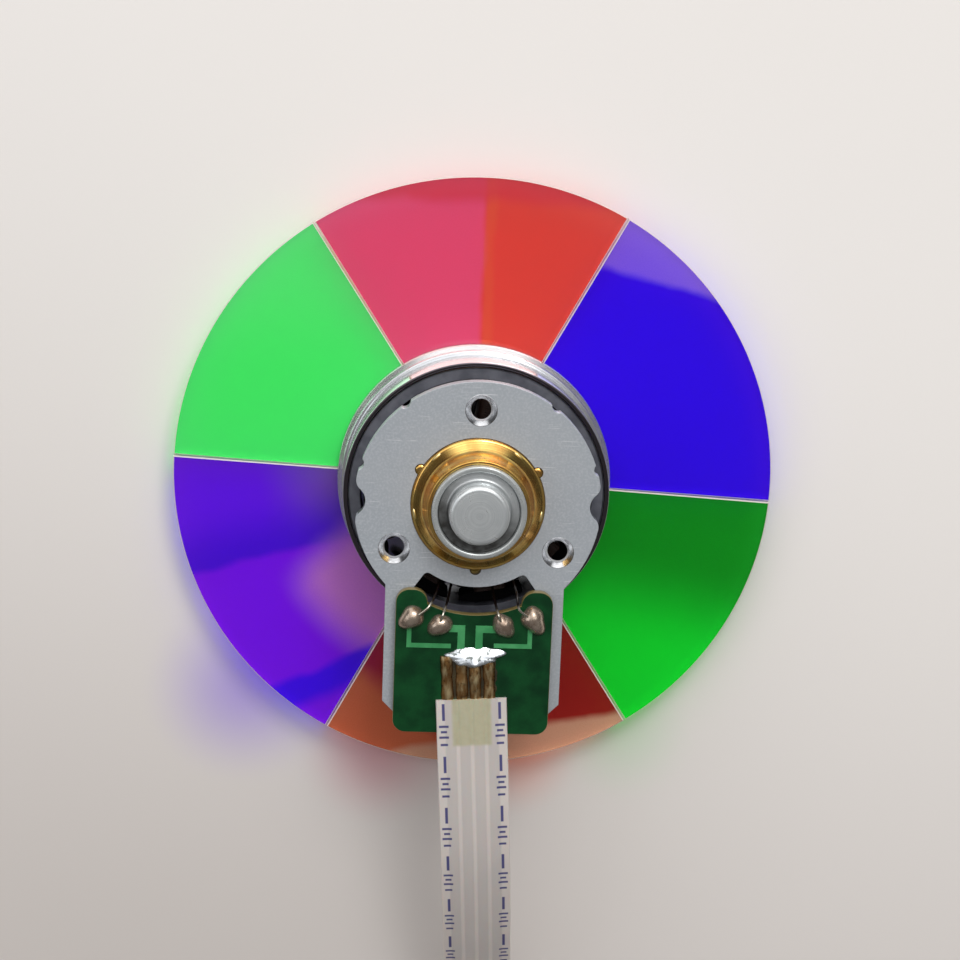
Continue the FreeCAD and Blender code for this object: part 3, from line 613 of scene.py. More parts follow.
class Tone(Enum):
    """The colours of the six filters as they show from above, with their painted reflections and shade."""

    GREEN = shade(60, 232, 96)
    LIME = shade(84, 232, 116)
    DEEP_GREEN = shade(6, 212, 36)
    DARK_GREEN = shade(4, 108, 12)
    RED = shade(214, 58, 50)
    ORANGE = shade(214, 82, 48)
    ROSE = shade(218, 66, 110)
    STRAWBERRY = shade(194, 40, 56)
    DEEP_RED = shade(140, 18, 14)
    CRIMSON = shade(146, 20, 58)
    TAN = shade(222, 163, 125)
    RUST = shade(204, 92, 55)
    BLUE = shade(40, 1, 244)
    PALE_BLUE = shade(132, 88, 250)
    DEEP_BLUE = shade(40, 1, 228)
    VIOLET = shade(86, 10, 232)
    DUSK = shade(100, 66, 128)
    INK = shade(54, 3, 196)
    PURPLE = shade(108, 8, 232)
    MAUVE = shade(214, 116, 190)


@dataclass(frozen=True)
class Gleam:
    """A soft second tone on coated glass, to one side of a line across the wheel: painted reflection and
    shade.

    Along its direction it comes in from start to end and goes out over the fade, where it has
    one. With a reach it also goes out at that distance from the motor axis.
    """

    tone: Tone
    angle: float
    start: float
    end: float
    share: float = 1.0
    fade: Spot | None = None
    reach: float = 0.0
    blur: float = 2.0

    def spread(self, surface: Surface, wander: Socket) -> Socket:
        """How much of the gleam shows at each place, from 0 to 1.

        Args:
            surface: The surface being made.
            wander: A slow noise that bends its outline.

        Returns:
            The share.
        """
        across = surface.compute("ADD", surface.along(self.angle), wander)
        share = surface.times(surface.ramp(across, self.start, self.end), self.share)
        if self.fade:
            share = surface.times(share, surface.ramp(across, self.fade[1], self.fade[0]))
        if self.reach:
            within = surface.ramp(surface.radius(), self.reach + self.blur, self.reach - self.blur)
            share = surface.times(share, within)
        return share


@dataclass(frozen=True)
class CoatedGlass:
    """Dichroic glass: clear, strongly coloured, with soft second tones of painted reflection and shade.

    Such a coating turns back the light that it doesn't pass, so bright metal beside it mirrors
    both and looks pale.
    """

    name: str
    tone: Tone
    gleams: tuple[Gleam, ...]
    clearness: float = 0.55
    floor: float = 0.8
    level: float = 0.86
    turned_back: float = 0.7
    paleness: float = 0.68
    grain_shade: float = 0.88

    def coating(self, tone: Tone) -> Colour:
        """The coating's own colour that shows as this tone over a pale floor.

        A coating colour c shows as its own share plus what comes back from the floor, which has
        passed the coating twice: level ((1 - clearness) c + clearness floor c^2). This solves
        that for c.

        Args:
            tone: The tone as it shows.

        Returns:
            The coating's colour.
        """
        own, through = self.level * (1 - self.clearness), self.level * self.clearness * self.floor
        solved = (np.sqrt(own**2 + 4 * through * np.array(tone.value)) - own) / (2 * through)
        return tuple(float(value) for value in np.minimum(solved, 1.0))

    def make(self) -> Material:
        """Builds the material.

        Returns:
            The material.
        """
        surface = Surface(self.name)
        wander = surface.scaled(surface.noise(5.0, 3.0), 1.2, -0.6)
        smear = surface.ramp(surface.noise(6.0, 4.0, (1, 3, 1), 3.0), 0.5, 0.85)
        mirrored = surface.ray("Glossy")
        base = self.coating(self.tone)
        surface.set(
            base_color=base,
            metallic=surface.times(mirrored, self.turned_back),
            roughness=surface.scaled(smear, 0.08, 0.02),
            transmission_weight=self.clearness,
            ior=1.5,
            specular_ior_level=0.12,
        )
        # Painted reflections and shade: each gleam stains the glass with a second tone.
        for gleam in self.gleams:
            surface.stain(gleam.spread(surface, wander), self.coating(gleam.tone))
        grain = surface.ramp(surface.noise(0.09, 2.0), 0.2, 0.8)
        surface.stain(grain, tuple(value * self.grain_shade for value in base), 0.16)
        surface.pass_lamps(surface.colour)
        surface.stain(mirrored, tuple(self.paleness + (1 - self.paleness) * value for value in base))
        surface.relief(surface.noise(3.5, 1.0), 0.002, 0.4)
        return surface.material


@dataclass(frozen=True)
class GroundEdge:
    """The ground rim and seams of the glass: frosted and pale."""

    name: str = "ground_glass_edge"
    tone: Colour = shade(236, 224, 220)
    paler: float = 1.12

    def make(self) -> Material:
        """Builds the material.

        Returns:
            The material.
        """
        surface = Surface(self.name)
        grind = surface.noise(0.12, 4.0)
        second = tuple(min(1.0, value * self.paler) for value in self.tone)
        surface.set(
            base_color=surface.blend(grind, self.tone, second),
            roughness=surface.scaled(grind, 0.3, 0.35),
            transmission_weight=0.25,
        )
        surface.relief(grind, 0.01)
        return surface.material


@dataclass(frozen=True)
class Metal:
    """Bare or plated metal with a grain, and turning lines by radius or by height."""

    name: str
    tone: Colour
    second: Colour
    rough: float
    grain: float = 0.1
    grain_depth: float = 0.002
    ring_width: float = 0.0
    ring_depth: float = 0.0
    by_height: bool = False
    patch: float = 3.0
    metallic: float = 1.0

    def start(self) -> Surface:
        """Builds the surface, for a finish that adds to it.

        Returns:
            The surface.
        """
        surface = Surface(self.name)
        cloud = surface.ramp(surface.noise(self.patch, 4.0), 0.3, 0.7)
        grain = surface.noise(self.grain, 3.0)
        rough = surface.scaled(cloud, 0.35 * self.rough, self.rough)
        surface.set(base_color=self.tone, metallic=self.metallic, roughness=rough)
        surface.stain(cloud, self.second, 0.6)
        surface.stain(grain, self.second, 0.3)
        if self.ring_width:
            ring = surface.lines(surface.axis("Z") if self.by_height else surface.radius(), self.ring_width)
            surface.stain(surface.ramp(ring, 0.35, 0.7), self.second, 0.5)
            surface.relief(ring, self.ring_depth)
        surface.relief(grain, self.grain_depth)
        return surface

    def make(self) -> Material:
        """Builds the material."""
        return self.start().material


@dataclass(frozen=True)
class StampedSteel(Metal):
    """The base plate's zinc-plated sheet: fine matt grain, faint scratches, painted shade in its openings."""

    name: str = "stamped_zinc_steel"
    tone: Colour = shade(182, 188, 195)
    second: Colour = shade(159, 166, 174)
    rough: float = 0.4
    grain: float = 0.12
    grain_depth: float = 0.004
    patch: float = 4.0
    metallic: float = 0.35
    openings: float = 8.3

    def make(self) -> Material:
        """Builds the material.

        Returns:
            The material.
        """
        surface = self.start()
        speck = surface.ramp(surface.noise(0.16, 3.0, seed=2.0), 0.42, 0.68)
        scratch = surface.ramp(surface.noise(0.05, 1.0, (60, 1, 1), 5.0), 0.66, 0.72)
        scratch = surface.times(scratch, surface.ramp(surface.noise(2.0, 1.0), 0.5, 0.6))
        # Painted shade: upright walls inside the openings' radius, in the window and the holes, are darkened
        # nearly to black.
        within = surface.ramp(surface.radius(), self.openings + 0.15, self.openings)
        painted_opening_shade = surface.times(surface.ramp(surface.levelness(), 0.6, 0.3), within)
        surface.stain(speck, shade(212, 214, 220), 0.28)
        surface.stain(scratch, shade(236, 237, 240), 0.6)
        surface.stain(painted_opening_shade, shade(38, 39, 42), 0.85)
        surface.relief(scratch, 0.003)
        return surface.material


@dataclass(frozen=True)
class Moulded:
    """Plastic, rubber, putty or lacquer: a colour with a soft grain."""

    name: str
    tone: Colour
    second: Colour
    rough: float = 0.5
    grain: float = 0.15
    depth: float = 0.004
    coat: float = 0.0
    clearness: float = 0.0
    gloss: float = 0.5

    def make(self) -> Material:
        """Builds the material.

        Returns:
            The material.
        """
        surface = Surface(self.name)
        cloud = surface.ramp(surface.noise(self.grain * 12, 4.0), 0.3, 0.7)
        grain = surface.noise(self.grain, 3.0)
        surface.set(
            base_color=surface.blend(cloud, self.tone, self.second),
            roughness=surface.scaled(grain, 0.2, self.rough - 0.1),
            coat_weight=self.coat,
            coat_roughness=0.12,
            transmission_weight=self.clearness,
            specular_ior_level=self.gloss,
        )
        surface.relief(grain, self.depth)
        return surface.material


def cured_glue(name: str, clearness: float) -> Material:
    """Makes pale, slightly cloudy glue.

    Args:
        name: The material's name.
        clearness: The share of light that passes it.

    Returns:
        The material.
    """
    return Moulded(
        name, shade(226, 222, 204), shade(206, 200, 178),
        rough=0.3, grain=0.2, depth=0.01, coat=0.5, clearness=clearness,
    ).make()


@dataclass(frozen=True)
class BoardLaminate:
    """The circuit board: green solder resist on top, tan glass cloth at its cut edges."""

    name: str = "board_solder_resist"

    def make(self) -> Material:
        """Builds the material.

        Returns:
            The material.
        """
        surface = Surface(self.name)
        cloud = surface.ramp(surface.noise(1.6, 4.0), 0.3, 0.7)
        weave = surface.noise(0.12, 2.0)
        resist = surface.blend(cloud, shade(7, 50, 25), shade(17, 74, 37))
        resist = surface.blend(surface.times(weave, 0.35), resist, shade(4, 34, 18))
        cloth = surface.blend(surface.noise(0.1, 4.0), shade(150, 132, 84), shade(110, 98, 60))
        surface.set(
            base_color=surface.blend(surface.ramp(surface.levelness(), 0.75, 0.9), cloth, resist),
            roughness=surface.scaled(weave, 0.12, 0.26),
            coat_weight=0.05,
            coat_roughness=0.1,
            specular_ior_level=0.2,
        )
        surface.relief(weave, 0.006)
        return surface.material


@dataclass(frozen=True)
class CableFilm:
    """The flat cable's film: white, with the conductors showing through and generic blue marks.

    The piece's map gives the distance across from its middle and along from its start. The film
    is cream for the bared length at its start. Each tick is its place in the pitch of the marks
    and half its length across.
    """

    name: str
    ways: tuple[float, ...]
    way_width: float
    bared: float
    mark_pitch: float = 3.9
    mark_line: float = 1.98
    dash: Spot = (0.9, 0.62)
    ticks: tuple[Spot, ...] = ((1.95, 0.34), (2.35, 0.22), (2.75, 0.34), (3.3, 0.26))
    line_half: float = 0.1
    tick_half: float = 0.085
    mark_blur: float = 0.03

    def make(self) -> Material:
        """Builds the material.

        Returns:
            The material.
        """
        surface = Surface(self.name)
        place = surface.split(surface.node("UVMap", uv_map=FlatCable.MAP).outputs[0])
        across = surface.times(surface.compute("SUBTRACT", place["X"], 0.5), FlatCable.MAP_UNIT)
        along = surface.times(place["Y"], FlatCable.MAP_UNIT)
        wires: Value = 0.0
        half = self.way_width / 2
        for way in self.ways:
            wire = surface.ramp(surface.distance(across, way), half + 0.08, half - 0.06)
            wires = surface.compute("ADD", wires, wire)
        cloud = surface.noise(2.2, 4.0)
        surface.set(
            base_color=surface.blend(cloud, shade(208, 201, 197), shade(222, 213, 207)),
            roughness=surface.scaled(cloud, 0.15, 0.28),
            coat_weight=0.35,
            coat_roughness=0.15,
            subsurface_weight=0.15,
            subsurface_scale=0.0004,
        )
        surface.stain(wires, shade(186, 180, 178), 0.55)
        inside = surface.ramp(surface.compute("ABSOLUTE", across), 1.5, 1.25)
        near = surface.times(surface.ramp(along, self.bared + 0.25, self.bared - 0.05), inside)
        cream = surface.blend(surface.noise(0.5, 3.0), shade(196, 191, 164), shade(178, 174, 146))
        surface.stain(near, cream)
        surface.stain(self.marks(surface, across, along), shade(36, 38, 116), 0.9)
        surface.relief(cloud, 0.02, 0.5)
        surface.relief(wires, 0.02)
        return surface.material

    def marks(self, surface: Surface, across: Socket, along: Socket) -> Socket:
        """Generic marks along both margins: by turns a long dash and a few cross ticks.

        Args:
            surface: The surface being made.
            across: The distance across.
            along: The distance along.

        Returns:
            1 on a mark and 0 off it.
        """
        off = surface.compute("ABSOLUTE", across)
        beat = surface.compute("MODULO", along, self.mark_pitch)

        def mark(half_across: float, place: float, half_along: float) -> Socket:
            """1 on one mark at a place in the pitch.

            Args:
                half_across: Half its length across.
                place: Its place along.
                half_along: Half its length along.

            Returns:
                The pattern.
            """
            near = []
            for value, middle, reach in ((off, self.mark_line, half_across), (beat, place, half_along)):
                limits = reach + self.mark_blur, reach - self.mark_blur
                near.append(surface.ramp(surface.distance(value, middle), *limits))
            return surface.times(*near)

        marks = mark(self.line_half, *self.dash)
        for place, half in self.ticks:
            marks = surface.compute("ADD", marks, mark(half, place, self.tick_half), clamp=True)
        return marks


# Stage


@dataclass
class Studio:
    """Camera, floor and lamps.

    The floor is painted darker in a direction, given from +X, between two distances from the motor
    axis: painted shade. Each painted light spot on it is its x, y, reach, share and tone: painted
    coloured light under the filters, and one wide painted shadow. Each lamp is its name, place,
    width, power and tone.
    """

    camera_place: Corner = (-6.03, 30.49, 146.46)
    camera_turn: Corner = (-12.089, -2.177, 1.7)
    lens: float = 75.0
    floor_reach: float = 900.0
    floor_level: float = -0.02
    window: float = 1.52
    room: float = 0.17
    backdrop: float = 0.86
    painted_falloff: Corner = (-108, -30, 60)
    painted_light_spots: tuple[tuple[float, float, float, float, Colour], ...] = (
        (-28.0, -54.0, 60.0, 0.4, shade(190, 183, 178)),
        (-17.0, -17.5, 8.0, 0.6, shade(150, 120, 222)),
        (-6.5, -22.3, 6.5, 0.65, shade(214, 150, 160)),
        (4.0, -22.3, 5.5, 0.65, shade(228, 156, 140)),
        (12.5, -20.5, 6.0, 0.3, shade(176, 222, 176)),
    )
    lamps: tuple[tuple[str, Corner, float, float, Colour], ...] = (
        ("key_lamp", (70, 215, 265), 120, 0.37, (1.0, 0.985, 0.96)),
        ("fill_lamp", (-240, 60, 210), 160, 0.11, (0.95, 0.97, 1.0)),
    )

    def place_camera(self) -> None:
        """Sets the camera at the photograph's viewing angle."""
        lens = bpy.data.cameras.new("camera")
        lens.lens = self.lens
        lens.clip_start, lens.clip_end = 0.01, 20
        camera = bpy.data.objects.new("camera", lens)
        tip, lean, spin = (math.radians(angle) for angle in self.camera_turn)
        facing = Matrix.Rotation(spin, 4, "Z") @ Matrix.Rotation(tip, 4, "X") @ Matrix.Rotation(lean, 4, "Y")
        camera.matrix_world = Matrix.Translation(Vector(self.camera_place) * MM) @ facing
        bpy.context.scene.collection.objects.link(camera)
        bpy.context.scene.camera = camera

    def lay_floor(self) -> None:
        """Lays a pale floor, painted a little greyer towards the viewer, with painted spots of coloured light
        and shadow.
        """
        surface = Surface("floor_paper")
        # Painted shade: the floor darkens along a direction.
        painted_falloff = surface.ramp(surface.along(self.painted_falloff[0]), *self.painted_falloff[1:])
        surface.set(base_color=surface.blend(painted_falloff, shade(247, 243, 240), shade(212, 205, 201)), roughness=0.9)
        surface.stain(surface.noise(14, 3.0), shade(236, 230, 228), 0.1)
        # Painted coloured light under the filters, and one wide painted shadow.
        for x, y, reach, share, glow in self.painted_light_spots:
            surface.stain(surface.ramp(surface.radius(x, y), reach, 0), glow, share)
        surface.relief(surface.noise(0.3, 3.0), 0.01, 0.3)
        angle = turn(96)
        rim = np.stack([np.cos(angle), np.sin(angle), 0 * angle], axis=1) * self.floor_reach
        rim[:, 2] = self.floor_level
        mesh = bpy.data.meshes.new("floor")
        mesh.from_pydata((rim * MM).tolist(), [], [list(range(len(rim)))])
        mesh.materials.append(surface.material)
        floor = bpy.data.objects.new("floor", mesh)
        bpy.context.scene.collection.objects.link(floor)

    def add_lamp(self, name: str, place: Corner, width: float, power: float, tone: Colour) -> None:
        """Adds a soft square lamp that points at the wheel.

        Args:
            name: The lamp's name.
            place: Where it hangs.
            width: Its side.
            power: Its power.
            tone: Its colour.
        """
        light = bpy.data.lights.new(name, "AREA")
        light.size, light.energy, light.color = width * MM, power, tone
        lamp = bpy.data.objects.new(name, light)
        facing = Vector(place).to_track_quat("Z", "Y").to_matrix().to_4x4()
        lamp.matrix_world = Matrix.Translation(Vector(place) * MM) @ facing
        bpy.context.scene.collection.objects.link(lamp)

    def light(self) -> None:
        """Sets the lamps, and a world that is a broad window behind the wheel in a dim room.

        The window starts a little past the zenith, so that only edges which turn away from the
        viewer mirror it, and ends to both sides. The room is darker lower down. Seen straight
        on, the world is an even backdrop.
        """
        world = bpy.data.worlds.new("studio")
        world.use_nodes = True
        sky = Patterns(world.node_tree)
        way = sky.split(sky.node("TexCoord").outputs["Generated"])
        behind = sky.ramp(way["Y"], 0.0, 0.18, 0.0, self.window)
        lit = sky.times(behind, sky.ramp(sky.compute("ABSOLUTE", way["X"]), 0.35, 0.65, 1.0, 0.0))
        dim = sky.ramp(way["Z"], 0.0, 0.6, self.room * 0.25, self.room)
        levels = {0: sky.ray("Camera"), 2: sky.compute("ADD", lit, dim), 3: self.backdrop}
        level = sky.feed(sky.node("Mix"), levels).outputs[0]
        sky.feed(sky.nodes["Background"], {"Color": (1.0, 0.99, 0.975), "Strength": level})
        bpy.context.scene.world = world
        for lamp in self.lamps:
            self.add_lamp(*lamp)
        bpy.context.scene.view_settings.view_transform = "Standard"

    def build(self) -> None:
        """Sets up the whole stage."""
        self.place_camera()
        self.lay_floor()
        self.light()


# Flat cable


@dataclass
class FlatCable:
    """The flat flexible cable: a ribbon over four flat conductors, with its plug-in end.

    Each point of the route is its distance along the table and its height from the start. The
    ribbon's map is measured in units of so many millimetres.
    """

    MAP = "across_along"
    MAP_UNIT = 100

    route: tuple[Spot, ...] = (
        (0, 0), (9, 0.1), (17, -1.95), (26, -6.75), (37, -10.4), (48, -12.1),
        (59, -11.7), (69.5, -11.95), (80, -11.65), (90, -12.0), (95.5, -12.0),
    )
    start_y: float = -13.8
    start_z: float = 12.35
    skew: float = 3.65
    length: float = 97.54
    half_width: float = 2.5
    thickness: float = 0.3
    ways: tuple[float, ...] = (-1.5, -0.5, 0.5, 1.5)
    way_width: float = 0.7
    valley: float = 0.05
    bared: float = 3.3

    def spline_points(self) -> Array:
        """Reads the cable's smooth centre line, in metres, off a spline through its route.

        Returns:
            The line's points.
        """
        along, height = np.array(self.route).T
        lean = math.radians(self.skew)
        x, y = along * math.sin(lean), self.start_y - along * math.cos(lean)
        knots = np.stack([x, y, self.start_z + height, 0 * along + 1 / MM], axis=1) * MM
        curve = bpy.data.curves.new("cable_line", "CURVE")
        curve.dimensions = "3D"
        curve.resolution_u = 24
        spline = curve.splines.new("NURBS")
        spline.points.add(len(knots) - 1)
        spline.points.foreach_set("co", knots.ravel())
        spline.order_u = 3
        spline.use_endpoint_u = True
        line = bpy.data.objects.new("cable_line", curve)
        bpy.context.scene.collection.objects.link(line)
        bpy.context.view_layer.update()
        mesh = bpy.data.meshes.new_from_object(line)
        points = self.read_points(mesh)
        bpy.data.objects.remove(line)
        bpy.data.curves.remove(curve)
        bpy.data.meshes.remove(mesh)
        return points

    @staticmethod
    def read_points(mesh: bpy.types.Mesh) -> Array:
        """The points of a mesh, in metres.

        Args:
            mesh: The mesh.

        Returns:
            An array with three numbers for each point.
        """
        points = np.empty(len(mesh.vertices) * 3)
        mesh.vertices.foreach_get("co", points)
        return points.reshape(-1, 3)

    def section(self) -> Array:
        """The ribbon's section: raised over each conductor and lower between them.

        The upper half height at u across is the half thickness less the valley depth times the
        share of a cosine wave that has its tops over the conductors.

        Returns:
            The section's points as across and up.
        """
        u = np.linspace(-1, 1, 61) * (self.half_width - 0.05)
        wave = 0.5 + 0.5 * np.cos(2 * np.pi * (u - self.ways[0]))
        within = np.clip((abs(self.ways[0]) + 0.5 - abs(u)) / 0.15, 0, 1)
        top = self.thickness / 2 - self.valley * (1 - wave * within)
        upper = np.stack([u, top], axis=1)
        tip = np.array([[self.half_width, 0.0]])
        return np.concatenate([upper, tip, upper[::-1] * [1, -1], -tip])

    def build(self) -> None:
        """Builds the ribbon and dresses its plug-in end."""
        line = self.spline_points()
        path = line / MM
        ahead = unit(np.gradient(path, axis=0))
        lean = math.radians(self.skew)
        across = np.array([math.cos(lean), math.sin(lean), 0.0])
        up = np.cross(ahead, across)
        section = self.section()
        points = path[:, None] + across * section[None, :, :1] + up[:, None] * section[None, :, 1:]
        finish = CableFilm("cable_film", self.ways, self.way_width, self.bared).make()
        role = Role(STATOR, "cable_film", "flat_cable")
        ribbon = add_piece("flat_cable_ribbon", capped(points), finish, role)
        self.map_ribbon(ribbon.data, path, ahead, across)
        blue = Moulded(
            "stiffener_film", shade(36, 92, 190), shade(28, 78, 172),
            rough=0.3, grain=0.2, depth=0.003, coat=0.4,
        )
        dress(blue.make(), "cable_end_stiffener")
        tin = Metal("contact_tin", shade(206, 200, 186), shade(176, 168, 150), rough=0.25, grain=0.08)
        dress(tin.make(), "cable_contacts")

    def map_ribbon(self, mesh: bpy.types.Mesh, path: Array, ahead: Array, across: Array) -> None:
        """Gives every corner of the ribbon its place across and along the cable.

        Args:
            mesh: The ribbon's mesh.
            path: The centre line.
            ahead: Its direction at each point.
            across: The direction across the ribbon.
        """
        points = self.read_points(mesh) / MM
        run = np.concatenate([[0], np.cumsum(np.linalg.norm(np.diff(path, axis=0), axis=1))])
        nearest = np.array([np.argmin(((path - point) ** 2).sum(axis=1)) for point in points])
        offset = points - path[nearest]
        along = run[nearest] + (offset * ahead[nearest]).sum(axis=1)
        places = np.stack([offset @ across / self.MAP_UNIT + 0.5, along / self.MAP_UNIT], axis=1)
        corner = np.empty(len(mesh.loops), dtype=int)
        mesh.loops.foreach_get("vertex_index", corner)
        mesh.uv_layers.new(name=self.MAP).uv.foreach_set("vector", places[corner].ravel())


# Rotor


@dataclass
class GlassRing:
    """Six coated filters, side by side round the wheel."""

    inner: float = 7.47
    outer: float = 22.0
    bottom: float = 2.1
    top: float = 2.8
    gap: float = 0.3
    edge: float = 0.08
    start: float = 61.7
    spans: tuple[float, ...] = (61.7, 53.7, 64.6, 61.7, 53.7, 64.6)
    names: tuple[str, ...] = ("red_1", "green_1", "blue_1", "red_2", "green_2", "blue_2")
    columns: int = 49
    rows: int = 7

    def coatings(self) -> list[CoatedGlass]:
        """The coating of each filter, in the order of their names.

        Returns:
            The six finishes.
        """
        # Each filter's tone, then its gleams: painted reflection and shade on the glass.
        tones = (
            (Tone.RED, (
                Gleam(Tone.ROSE, 180, -0.5, 0.1),
                Gleam(Tone.ORANGE, 0, 0.0, 0.25, 0.45, (0.5, 1.1)),
                Gleam(Tone.STRAWBERRY, 90, 19.6, 20.8, 0.75),
            )),
            (Tone.GREEN, (Gleam(Tone.LIME, 90, 7, 15, 0.6),)),
            (Tone.VIOLET, (
                Gleam(Tone.DUSK, 10, -16, -9, 0.85),
                Gleam(Tone.INK, 104.5, 2.4, -1.8, 0.9),
                Gleam(Tone.PURPLE, 104.5, -2.0, -2.8),
                Gleam(Tone.MAUVE, -50, -4.2, -0.8, 0.95, reach=15.0),
                Gleam(Tone.DEEP_BLUE, 114.3, -8.5, -9.3, 0.95, (-10.4, -11.8)),
            )),
            (Tone.DEEP_RED, (
                Gleam(Tone.CRIMSON, 180, 5.2, 7.2, 0.85),
                Gleam(Tone.RUST, -130, 15.2, 17.4, 0.95),
                Gleam(Tone.TAN, -78, 19.3, 20.1, 0.95),
            )),
            (Tone.DEEP_GREEN, (Gleam(Tone.DARK_GREEN, 75, -9, -1, 0.9),)),
            (Tone.BLUE, (Gleam(Tone.PALE_BLUE, 75, 17.3, 18.1, 0.85),)),
        )
        return [CoatedGlass(f"coating_{name}", *entry) for name, entry in zip(self.names, tones)]

    def shape(self, middle: float, half: float) -> Shape:
        """One filter with bevelled edges: its two faces first, then the rings of its rim.

        On each, the radius goes from inner to outer with v and the angle from one side to the
        other with u, both drawn in by the inset; the angle's part of it is the inset over the
        radius.

        Args:
            middle: The filter's middle angle.
            half: Half its angle.

        Returns:
            The points and the faces.
        """
        grid = np.meshgrid(np.linspace(0, 1, self.columns), np.linspace(0, 1, self.rows), indexing="ij")
        u, v = (share.ravel() for share in grid)
        count = len(u)
        numbers = np.arange(count).reshape(self.columns, self.rows)
        rim = np.concatenate([numbers[:-1, 0], numbers[-1, :-1], numbers[:0:-1, -1], numbers[0, :0:-1]])
        points = []
        for share_u, share_v, inset, heights in (
            (u, v, self.edge, (self.bottom, self.top)),
            (u[rim], v[rim], 0.0, (self.bottom + self.edge, self.top - self.edge)),
        ):
            radius = (self.inner + inset) + (self.outer - self.inner - 2 * inset) * share_v
            angle = np.radians(middle) + (2 * share_u - 1) * (np.radians(half) - inset / radius)
            x, y = radius * np.cos(angle), radius * np.sin(angle)
            points += [np.stack([x, y, np.full_like(x, z)], axis=-1) for z in heights]
        around = np.arange(len(rim))
        following = (around + 1) % len(rim)
        rings = [rim, 2 * count + around, 2 * count + len(rim) + around, rim + count]
        sides = [
            np.stack([low, low[following], high[following], high], axis=1)
            for low, high in zip(rings, rings[1:])
        ]
        flat = quads(self.columns, self.rows, wrap_rows=False, wrap_columns=False)
        return np.concatenate(points), np.concatenate([flat, flat + count, *sides])

    def build(self) -> None:
        """Builds all six filters, with ground edges."""
        ground = GroundEdge().make()
        angle = self.start
        for name, span, coating in zip(self.names, self.spans, self.coatings()):
            role = Role(ROTOR, "glass_" + name.split("_")[0], f"filter_{name}")
            shape = self.shape(angle + span / 2, (span - self.gap) / 2)
            glass = add_piece(f"glass_{name}", shape, coating.make(), role).data
            glass.materials.append(ground)
            on_rim = np.arange(len(glass.polygons)) >= 2 * (self.columns - 1) * (self.rows - 1)
            glass.polygons.foreach_set("material_index", on_rim.astype(int))
            angle += span


@dataclass
class RotorCan:
    """The drawn can with its magnet, the stepped hub under it and the balance ring."""

    radius: float = 9.45
    wall: float = 0.4
    bottom: float = 4.3
    lip: float = 8.2
    hole: float = 3.02
    corner: float = 0.5
    lip_round: float = 0.12

    def drawn_finish(self) -> Material:
        """The can's nickel, with the top of its lip darkened: partly bare trimmed steel, partly painted
        shade.

        Returns:
            The material.
        """
        surface = Metal(
            "drawn_nickel", shade(240, 241, 243), shade(216, 219, 224),
            rough=0.12, grain=0.2, grain_depth=0.001, ring_width=0.35, ring_depth=0.003,
            by_height=True, patch=5.0,
        ).start()
        # Painted shade, partly the bare trimmed steel: the top of the lip is darkened to a dark line.
        surface.stain(surface.ramp(surface.axis("Z"), self.lip - 0.07, self.lip - 0.01), shade(92, 86, 92))
        return surface.material

    def build(self) -> None:
        """Builds the can and dresses what turns with it."""
        inner, floor = self.radius - self.wall, self.bottom + self.wall
        profile = soften([
            (self.hole, self.bottom, 0.05),
            (self.radius, self.bottom, self.corner),
            (self.radius, self.lip, self.lip_round),
            (inner, self.lip, self.lip_round),
            (inner, floor, 0.1),
            (self.hole, floor, 0.05),
        ], 6)
        lathe("can", profile, 256, self.drawn_finish(), Role(ROTOR, "yoke_steel", "rotor_yoke"))
        turned = Metal(
            "turned_aluminium", shade(238, 239, 241), shade(212, 214, 219),
            rough=0.2, grain=0.1, grain_depth=0.001, ring_width=0.12, ring_depth=0.004,
        ).make()
        for node in ("rotor_hub", "clamp_ring"):
            refine(f"{node}_turned", turned, Role(ROTOR, "hub_aluminium", node))
        ferrite = Moulded(
            "moulded_ferrite", shade(96, 98, 108), shade(72, 74, 84),
            rough=0.5, grain=0.08, depth=0.006,
        )
        refine("magnet_ring", ferrite.make(), Role(ROTOR, "magnet", "rotor_magnet"))
        ground = Metal(
            "ground_steel", shade(214, 214, 216), shade(190, 191, 194),
            rough=0.16, grain=0.05, grain_depth=0.001, ring_width=0.06, ring_depth=0.001,
            by_height=True,
        )
        refine("shaft_ground", ground.make(), Role(ROTOR, "ground_steel", "shaft"), 0.04)
        dress(cured_glue("cured_adhesive", 0.4), "segment_adhesive")
        putty = Moulded(
            "balance_putty", shade(98, 116, 102), shade(82, 100, 88),
            rough=0.7, grain=0.25, depth=0.05,
        )
        dress(putty.make(), "balance_putty")


# Stator


